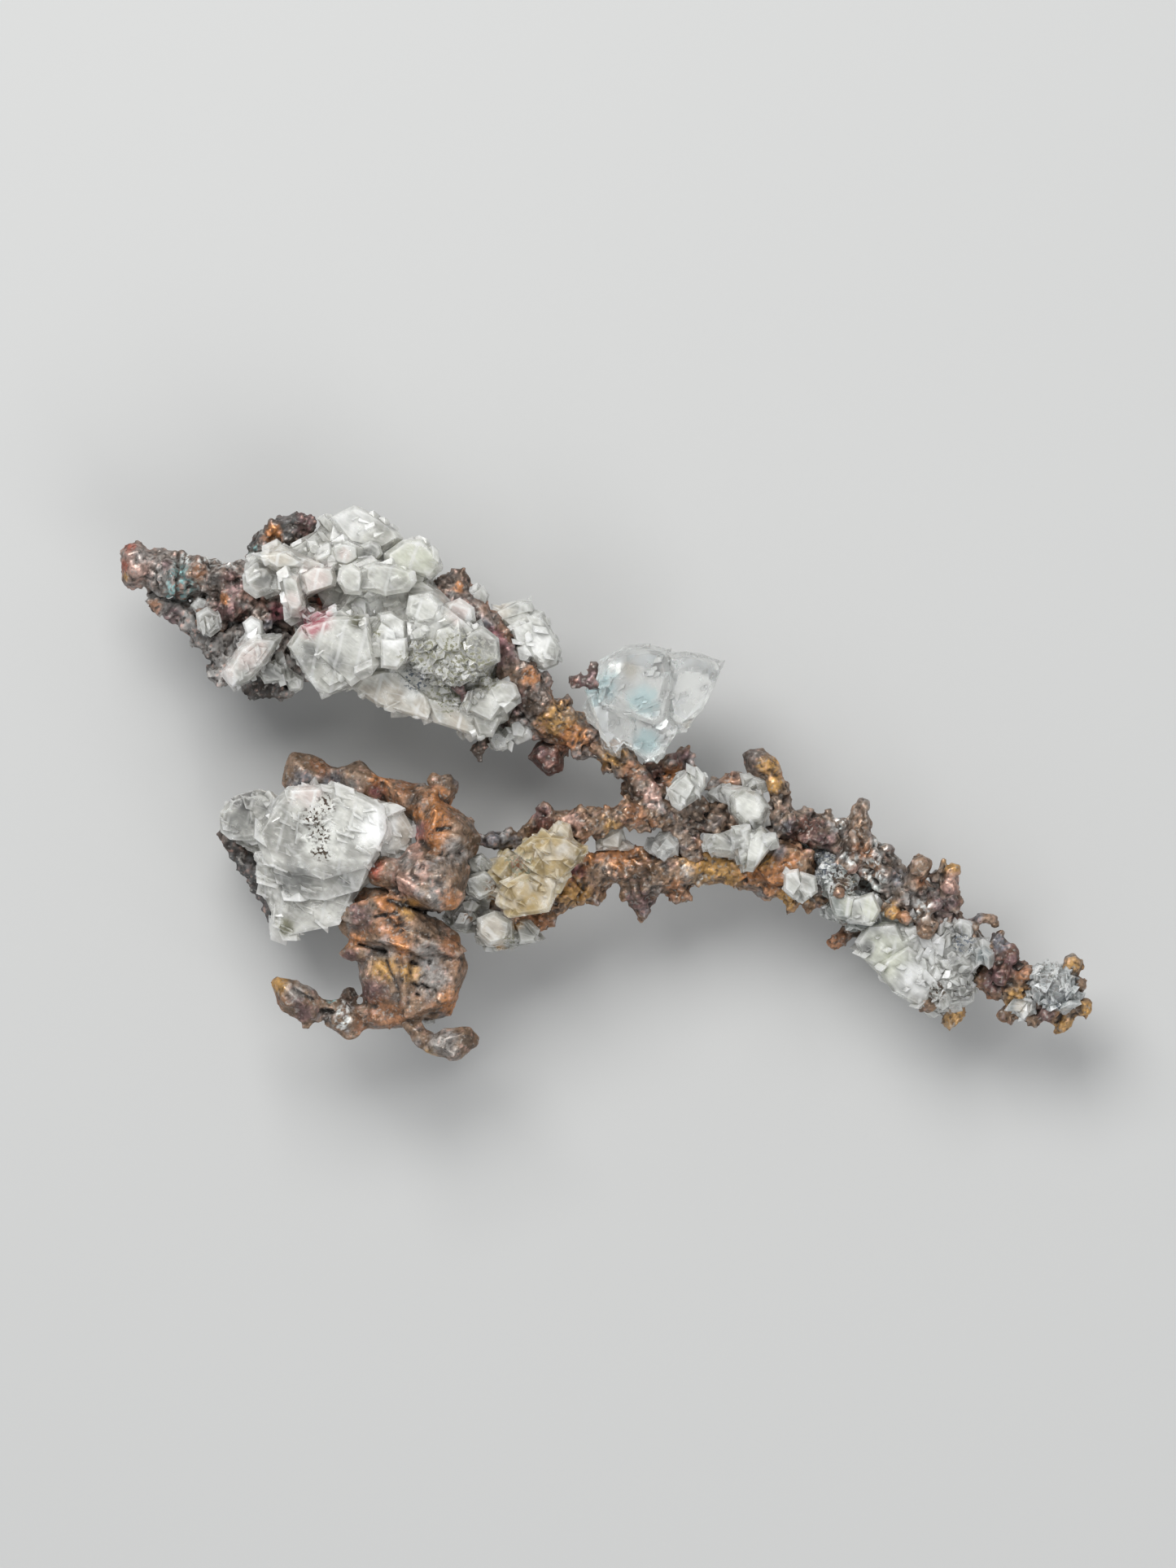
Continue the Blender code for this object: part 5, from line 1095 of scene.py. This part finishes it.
ROOT_CRYSTALS = [
    ([(27.6, 82.8), (29.5, 79.6), (31.6, 78.1), (35.2, 77.9), (34.4, 79.4), (32.6, 81.9), (30.8, 83.7),
      (28.6, 84.6)], 0.6, (0.0, 0.1), 0.7),
    ([(24.2, 75.4), (25.6, 74.6), (27.2, 75.6), (27.3, 77.4), (26.0, 78.4), (24.4, 77.4)], 0.4, (0.1, 0)),
    ([(23.4, 74.4), (24.4, 73.3), (25.8, 73.8), (25.8, 75.2), (24.2, 75.5)], 0.2),
    ([(29.9, 76.6), (31.0, 75.7), (32.4, 76.4), (32.6, 78.2), (30.6, 78.6)], 0.3, (0.1, 0.2)),
    ([(31.6, 82.4), (33.2, 81.1), (35.0, 82.0), (35.2, 83.8), (32.6, 84.1)], 0.3),
    ([(35.0, 83.6), (36.4, 82.9), (37.4, 83.6), (37.2, 84.8), (35.6, 84.9)], 0.2),
]


def grow_arm_calcite(rng):
    """The crystals at the root and along the arm's ribbon."""
    calcite_piece(
        "root_crystals", ["calcite_root_cluster", "calcite_root_chip"], MILKY, MILK, 0.5, rng,
        spots=[
            (31.0, 80.6, 2.4, BLUSH, 0.3), (31.0, 77.4, 1.6, WHITE, 0.1), (33.6, 82.6, 1.6, SMOKE, 0.6),
            (28.0, 83.0, 1.6, BLUSH, 0.3), (24.6, 74.4, 1.0, SMOKE, 0.4)],
        outlined=ROOT_CRYSTALS, close=0.5)
    calcite_piece(
        "perched_crystal", ["calcite_perched"], MILKY, MILK, 0.5, rng,
        outlined=[
            ([(57.9, 73.2), (59.4, 71.9), (60.2, 73.2), (59.8, 74.6), (58.2, 74.4)], 0.4, (0.1, 0.1))])
    calcite_piece(
        "bend_crystals", ["calcite_beside_ribbon"], MILKY, MILK, 0.4, rng,
        spots=[
            (61.8, 75.2, 1.4, BEIGE, 0.2), (66.0, 79.0, 1.8, WHITE, 0.2), (68.2, 81.4, 1.2, SMOKE, 0.4)],
        outlined=[
            ([(60.2, 75.6), (63.7, 73.9), (65.4, 74.1), (65.5, 75.2), (63.2, 75.8), (61.0, 76.6)], 0.3,
              (0.0, 0.3)),
            ([(64.6, 75.6), (66.4, 76.0), (67.6, 77.4), (68.8, 79.4), (68.4, 81.6), (66.8, 82.2),
              (65.2, 80.6), (64.2, 78.4)], 0.4, (0.1, 0.05)),
            ([(63.4, 79.5), (64.6, 79.0), (65.6, 80.4), (64.8, 81.6), (63.6, 81.4)], 0.4)],
        blocks=(0.04, 1.0, 2.0), close=0.6)
    calcite_piece("paired_crystals", ["calcite_pair"], MILKY, MILK, 0.45, rng, blocks=(0.1, 1.0, 1.8))


FORK_CRYSTALS = [
    ([(73.7, 81.8), (75.4, 80.2), (79.3, 79.6), (81.6, 80.2), (82.4, 82.6), (81.4, 86.4), (78.0, 87.6),
      (75.2, 86.0), (73.2, 83.6)], 0.5, (0.05, 0.1), 0.84),
    ([(82.0, 80.4), (84.2, 80.1), (88.0, 81.2), (88.4, 82.2), (87.4, 85.0), (86.4, 87.2), (84.4, 89.4),
      (82.4, 88.4), (81.6, 84.4)], 0.5, (-0.15, 0.05), 0.84),
    ([(77.4, 87.8), (81.6, 86.6), (83.6, 89.4), (81.6, 92.4), (79.4, 93.6), (77.6, 92.0)], 0.4, (0, 0.2)),
    ([(71.8, 84.8), (73.4, 84.0), (76.6, 87.2), (77.4, 90.4), (75.6, 92.6), (73.8, 90.6), (73.4, 88.4)],
      0.4, (-0.2, 0.1)),
]


def grow_fork_calcite(rng):
    """The clear crystal over the fork and the small ones in its crook."""
    calcite_piece(
        "fork_crystal", ["calcite_fork_large"], CLEAR, (0.97, 0.965, 0.94), 0.8, rng,
        spots=[
            (73.6, 84.4, 2.2, ICE_BLUE, 0.8), (79.0, 86.4, 1.8, ICE_BLUE, 0.8),
            (79.4, 91.4, 1.8, ICE_BLUE, 0.8), (77.6, 82.4, 1.2, BEIGE, 0.8),
            (85.0, 89.0, 1.0, BEIGE, 0.8), (71.0, 85.6, 1.0, ICE_BLUE, 0.8)],
        outlined=FORK_CRYSTALS)
    calcite_piece(
        "crook_crystals", ["calcite_fork_small"], MILKY, MILK, 0.4, rng,
        outlined=[
            ([(81.8, 97.2), (82.8, 96.0), (84.4, 94.8), (85.6, 96.4), (84.6, 98.6), (83.7, 99.6),
              (82.6, 99.1)], 0.4, (0.1, 0.1)),
            ([(84.4, 94.4), (85.6, 94.2), (86.6, 95.3), (86.6, 96.5), (85.6, 98.2), (84.8, 96.8)], 0.3,
              (-0.1, 0.1))],
        blocks=(0.1, 0.8, 1.6))


BROKEN_CRYSTALS = [
    ([(57.2, 105.4), (59.2, 104.8), (60.8, 106.2), (59.6, 107.6), (57.6, 107.2)], 0.4, (0.2, 0.1)),
    ([(56.9, 107.8), (59.4, 106.9), (61.6, 107.8), (61.0, 109.6), (59.0, 110.6), (57.2, 109.8)], 0.4,
      (-0.1, 0.1)),
    ([(56.5, 110.8), (58.0, 110.2), (59.2, 111.2), (58.4, 112.2), (56.8, 112.0)], 0.4),
    ([(58.6, 112.8), (60.8, 111.9), (63.0, 113.2), (62.6, 115.6), (60.2, 116.2), (58.6, 114.8)], 0.5,
      (0.1, 0.1)),
    ([(63.2, 113.6), (65.0, 113.0), (66.4, 114.2), (65.8, 115.8), (63.8, 116.0)], 0.4, (-0.1, 0.1)),
]


def grow_lower_calcite(rng):
    """The yellow crystal and its broken neighbours, and the two by the opening."""
    calcite_piece(
        "yellow_crystal", ["calcite_yellow"], YELLOW, STRAW, 0.5, rng,
        spots=[(63.6, 106.2, 1.1, RUST, 0.1), (69.4, 104.2, 1.4, BEIGE, 0.3)],
        specks=[(64.0, 106.4, 2.0, OLIVE_GREY)],
        outlined=[
            ([(63.8, 103.9), (65.3, 102.7), (67.6, 102.5), (69.7, 102.8), (72.0, 104.3), (71.8, 105.2),
              (70.3, 106.8), (68.9, 108.4), (64.4, 107.4)], 0.5, (0.05, 0.05), 0.84),
            ([(62.0, 108.0), (64.4, 106.8), (68.7, 107.6), (68.2, 110.5), (67.5, 112.0), (63.5, 112.6),
              (60.6, 111.0)], 0.5, (-0.05, 0.12), 0.82)],
        steps=(0.3, 1.2, 3.0, 0.36, 0.8), close=0.8)
    calcite_piece(
        "broken_crystals", ["calcite_lower_left"], MILKY, FAINT, 0.45, rng,
        spots=[
            (63.6, 113.6, 0.8, GOLD, 0.0), (61.4, 116.4, 0.8, GOLD, 0.0), (61.0, 110.0, 1.1, GOLD, 0.0),
            (65.2, 112.2, 0.9, BLUSH, 0.2), (60.6, 114.4, 2.0, BEIGE, 0.3)],
        specks=[(60.4, 109.0, 1.2, BROWN), (57.6, 112.6, 1.0, BROWN), (62.6, 115.4, 1.0, OLIVE_GREY)],
        outlined=BROKEN_CRYSTALS, blocks=(0.1, 0.8, 1.8), close=0.5)
    calcite_piece("bridge_crystal", ["calcite_under_bridge"], MILKY, BEIGE, 0.5, rng)
    calcite_piece("gap_crystal", ["calcite_gap_side"], MILKY, SMOKE, 0.5, rng)


HEART_CRYSTALS = [
    ([(89.6, 97.8), (91.4, 96.7), (93.4, 97.4), (94.6, 99.2), (93.6, 101.2), (91.4, 101.5), (89.8, 99.8)],
      0.6, (0.05, 0.1), 0.7),
    ([(89.7, 101.5), (91.6, 101.2), (92.6, 102.6), (91.9, 104.8), (90.4, 104.0)], 0.3, (-0.3, 0.1), 0.7),
    ([(92.0, 102.6), (93.4, 101.4), (95.4, 103.2), (94.2, 104.8), (92.4, 107.2), (91.4, 107.0),
      (91.6, 104.4)], 0.6, (0.25, 0.05), 0.8),
]
RIGHT_MASS_CRYSTALS = [
    ([(104.4, 110.4), (107.2, 109.6), (108.2, 111.8), (107.0, 113.8), (104.2, 113.4)], 0.5, (0.1, 0.1),
      0.8),
    ([(105.0, 115.7), (106.6, 113.4), (110.2, 113.2), (111.8, 116.4), (109.6, 119.8), (107.2, 118.5),
      (105.8, 117.7)], 0.4, (0.0, 0.2), 0.82),
    ([(107.4, 118.7), (111.6, 115.8), (114.0, 117.4), (114.8, 121.4), (113.6, 124.2), (111.6, 123.1),
      (109.9, 122.1), (108.6, 120.1)], 0.5, (0.1, 0.15), 0.84),
]


def grow_right_calcite(rng):
    """The crystals along the right arm, as far as its end."""
    calcite_piece(
        "heart_crystals", ["calcite_heart", "calcite_stem"], MILKY, FAINT, 0.5, rng,
        spots=[
            (92.6, 104.0, 2.2, MILK, 0.25), (90.0, 103.4, 1.2, SMOKE, 0.4), (91.6, 99.4, 1.8, MILK, 0.2)],
        outlined=HEART_CRYSTALS, blocks=(0.03, 1.0, 1.8))
    calcite_piece(
        "boss_crystals", ["calcite_white_low"], MILKY, MILK, 0.4, rng,
        outlined=[
            ([(96.2, 107.0), (98.0, 106.7), (98.6, 108.6), (97.4, 110.4), (96.2, 109.4)], 0.5,
              (-0.1, 0.1)),
            ([(98.2, 107.0), (100.2, 107.6), (100.4, 109.6), (98.8, 110.8), (97.8, 109.4)], 0.4,
              (0.2, 0.0))])
    calcite_piece(
        "collar_crystals", ["calcite_collar"], MILKY, (0.24, 0.26, 0.235), 0.3, rng,
        spots=[
            (104.6, 111.4, 1.6, GREENISH, 0.3), (102.0, 107.4, 1.2, FROST, 0.2),
            (103.4, 108.6, 0.9, BROWN, 0.0)],
        specks=[(101.4, 106.4, 2.6, SLATE), (103.4, 108.4, 2.0, UMBER)],
        outlined=[
            ([(101.5, 109.9), (103.4, 109.4), (105.2, 110.2), (104.6, 113.0), (102.6, 113.0)], 0.5,
              (0.0, 0.2))],
        blocks=(0.15, 0.8, 1.6), sugar=(1.0, 0.4, 1.0), close=0.5)
    calcite_piece(
        "right_mass_crystals", ["calcite_right_mass"], MILKY, MILK, 0.5, rng,
        spots=[
            (107.6, 111.4, 2.4, GREENISH, 0.3), (108.6, 117.6, 3.4, GREENISH, 0.35),
            (106.4, 116.6, 1.2, SMOKE, 0.6), (117.8, 114.8, 1.0, SMOKE, 0.7),
            (117.4, 117.8, 1.0, SMOKE, 0.7), (118.0, 122.0, 1.4, SMOKE, 0.7),
            (114.4, 116.4, 2.0, WHITE, 0.4), (120.6, 117.4, 1.2, (0.50, 0.55, 0.55), 0.4),
            (112.4, 120.4, 2.4, WHITE, 0.4)],
        specks=[(118.4, 115.8, 1.6, SLATE), (115.2, 121.8, 1.3, UMBER)], outlined=RIGHT_MASS_CRYSTALS,
        sugar=(0.8, 1.0, 2.3),
        sugar_where=within((117.0, 116.6, 4.6), (116.4, 121.0, 3.9), (113.0, 113.8, 1.6)), close=0.8)
    calcite_piece(
        "end_crystals", ["calcite_end", "calcite_end_chip"], MILKY, (0.48, 0.51, 0.50), 0.35, rng,
        spots=[(125.8, 124.2, 1.2, BEIGE, 0.3)],
        specks=[(129.4, 122.2, 2.2, SLATE), (129.0, 120.0, 2.6, STEEL)], blocks=(0.3, 1.0, 2.2),
        sugar=(0.7, 0.7, 1.5))


LARGE_LEFT_CRYSTALS = [
    ([(35.6, 96.6), (41.1, 96.4), (44.7, 97.5), (47.4, 99.0), (47.8, 103.4), (46.2, 106.3), (40.0, 108.0),
      (33.0, 106.4), (31.4, 102.4), (33.6, 98.6)], 0.4, (0.0, 0.06), 0.88),
    ([(31.4, 104.6), (36.0, 104.2), (42.0, 105.6), (45.2, 106.8), (44.4, 108.9), (42.1, 112.1),
      (41.8, 113.6), (37.6, 114.1), (35.1, 115.0), (33.6, 112.4), (32.3, 109.4)], 0.3, (0.0, 0.16), 0.86),
    ([(33.6, 103.4), (36.4, 101.6), (46.0, 102.0), (46.8, 105.0), (44.2, 109.4), (40.0, 110.6),
      (36.0, 110.2), (33.4, 107.0)], 0.3, (0.0, 0.35), 0.86, 20.6),
    ([(42.6, 104.0), (46.4, 103.6), (47.4, 106.2), (45.0, 109.0), (42.4, 109.2)], 0.3, (-0.4, 0.2), 0.8,
      17.6),
    ([(32.4, 101.4), (35.0, 99.4), (36.8, 102.0), (35.4, 105.8), (32.6, 105.4)], 0.3, (0.5, 0.2), 0.8,
      18.2),
    ([(46.2, 98.6), (49.3, 99.0), (50.1, 100.8), (50.9, 102.1), (50.1, 104.0), (48.4, 105.6),
      (46.6, 105.8), (46.0, 102.0)], 0.3, (-0.7, 0.05), 0.8, 18.6),
    ([(27.1, 99.8), (28.9, 97.8), (31.7, 97.0), (33.8, 97.8), (34.0, 100.0), (31.6, 103.2), (28.6, 103.4),
      (27.2, 102.2)], 0.4, (0.1, 0.1), 0.8),
]


def grow_left_calcite(rng):
    """The speck on the plate and the large crystal on the left."""
    calcite_piece("plate_crystal", ["calcite_plate_speck"], MILKY, MILK, 0.45, rng)
    calcite_piece(
        "large_left_crystals", ["calcite_large_left"], MILKY, (0.81, 0.80, 0.74), 0.42, rng,
        spots=[
            (36.2, 108.4, 2.2, SMOKE, 0.6), (42.8, 108.4, 1.4, SMOKE, 0.5),
            (29.6, 101.4, 2.4, SMOKE, 0.65), (30.2, 98.4, 1.8, STEEL, 0.3), (33.0, 99.0, 1.6, SMOKE, 0.6),
            (49.2, 102.0, 1.8, BEIGE, 0.4), (46.0, 101.6, 3.0, WHITE, 0.15),
            (40.0, 102.0, 3.6, MILK, 0.2), (38.0, 97.6, 2.0, BLUSH, 0.3),
            (35.2, 113.8, 1.2, OLIVE_GREY, 0.2)],
        specks=[
            (40.2, 98.8, 1.3, UMBER), (38.6, 100.4, 1.5, UMBER), (39.6, 102.6, 1.3, UMBER),
            (39.6, 105.0, 1.2, UMBER)],
        outlined=LARGE_LEFT_CRYSTALS, close=1.0, depth=5.0, steps=(0.3, 1.4, 3.2, 0.42, 1.0))


# --- floor, light and camera, in metres ---

FLOOR_REACH = 3
MIDDLE = (0, 0, 0.01)  # what the lights face
VIEW_AT = (72.25, 96.35, 13.5)  # the middle of the view, on the sheet and over the floor, in millimetres
VIEW_HEIGHT = 1.5  # how far the camera is over it
VIEW_LENGTH = 0.1927  # what the longer side of the view takes in
SENSOR = 36  # the camera's own width, in millimetres


def area_light(name, place_at, size, power):
    """A rectangular light that faces the middle of the piece."""
    lamp = bpy.data.lights.new(name, "AREA")
    lamp.shape = "RECTANGLE"
    lamp.size, lamp.size_y = size
    lamp.energy = power
    holder = bpy.data.objects.new(name, lamp)
    holder.location = place_at
    holder.rotation_euler = (Vector(MIDDLE) - Vector(place_at)).to_track_quat("-Z", "Y").to_euler()
    bpy.context.scene.collection.objects.link(holder)


def studio():
    """The pale floor, the soft light and the camera that looks down on the piece."""
    scene = bpy.context.scene
    scene.view_settings.view_transform = "Standard"
    shape = bmesh.new()
    bmesh.ops.create_grid(shape, x_segments=1, y_segments=1, size=FLOOR_REACH)
    floor_look = Look("pale floor")
    floor_look.fix(Base_Color=(0.44, 0.44, 0.43, 1), Roughness=0.8)
    finish_mesh("floor", shape, floor_look.material)
    world = bpy.data.worlds.new("studio")
    scene.world = world
    world.use_nodes = True
    sky = world.node_tree.nodes["Background"]
    sky.inputs["Color"].default_value = (0.92, 0.95, 1.0, 1)
    sky.inputs["Strength"].default_value = 0.5
    area_light("key", (-0.18, 0.42, 0.65), (0.55, 0.45), 7.0)
    area_light("fill", (0.35, -0.45, 0.6), (0.5, 0.5), 2.2)
    camera = bpy.data.cameras.new("camera")
    camera.sensor_width = SENSOR
    camera.lens = SENSOR * VIEW_HEIGHT / VIEW_LENGTH
    holder = bpy.data.objects.new("camera", camera)
    holder.location = place(*VIEW_AT) + Vector((0, 0, VIEW_HEIGHT))
    camera.clip_start, camera.clip_end = 0.05, 10
    scene.collection.objects.link(holder)
    scene.camera = holder


copper_rng = random.Random(11)
for grow in (grow_upper_copper, grow_right_copper, grow_lower_copper, grow_plate, grow_matrix):
    grow(copper_rng)
calcite_rng = random.Random(12)
for grow in (grow_upper_calcite, grow_arm_calcite, grow_fork_calcite, grow_lower_calcite,
             grow_right_calcite, grow_left_calcite):
    grow(calcite_rng)
studio()
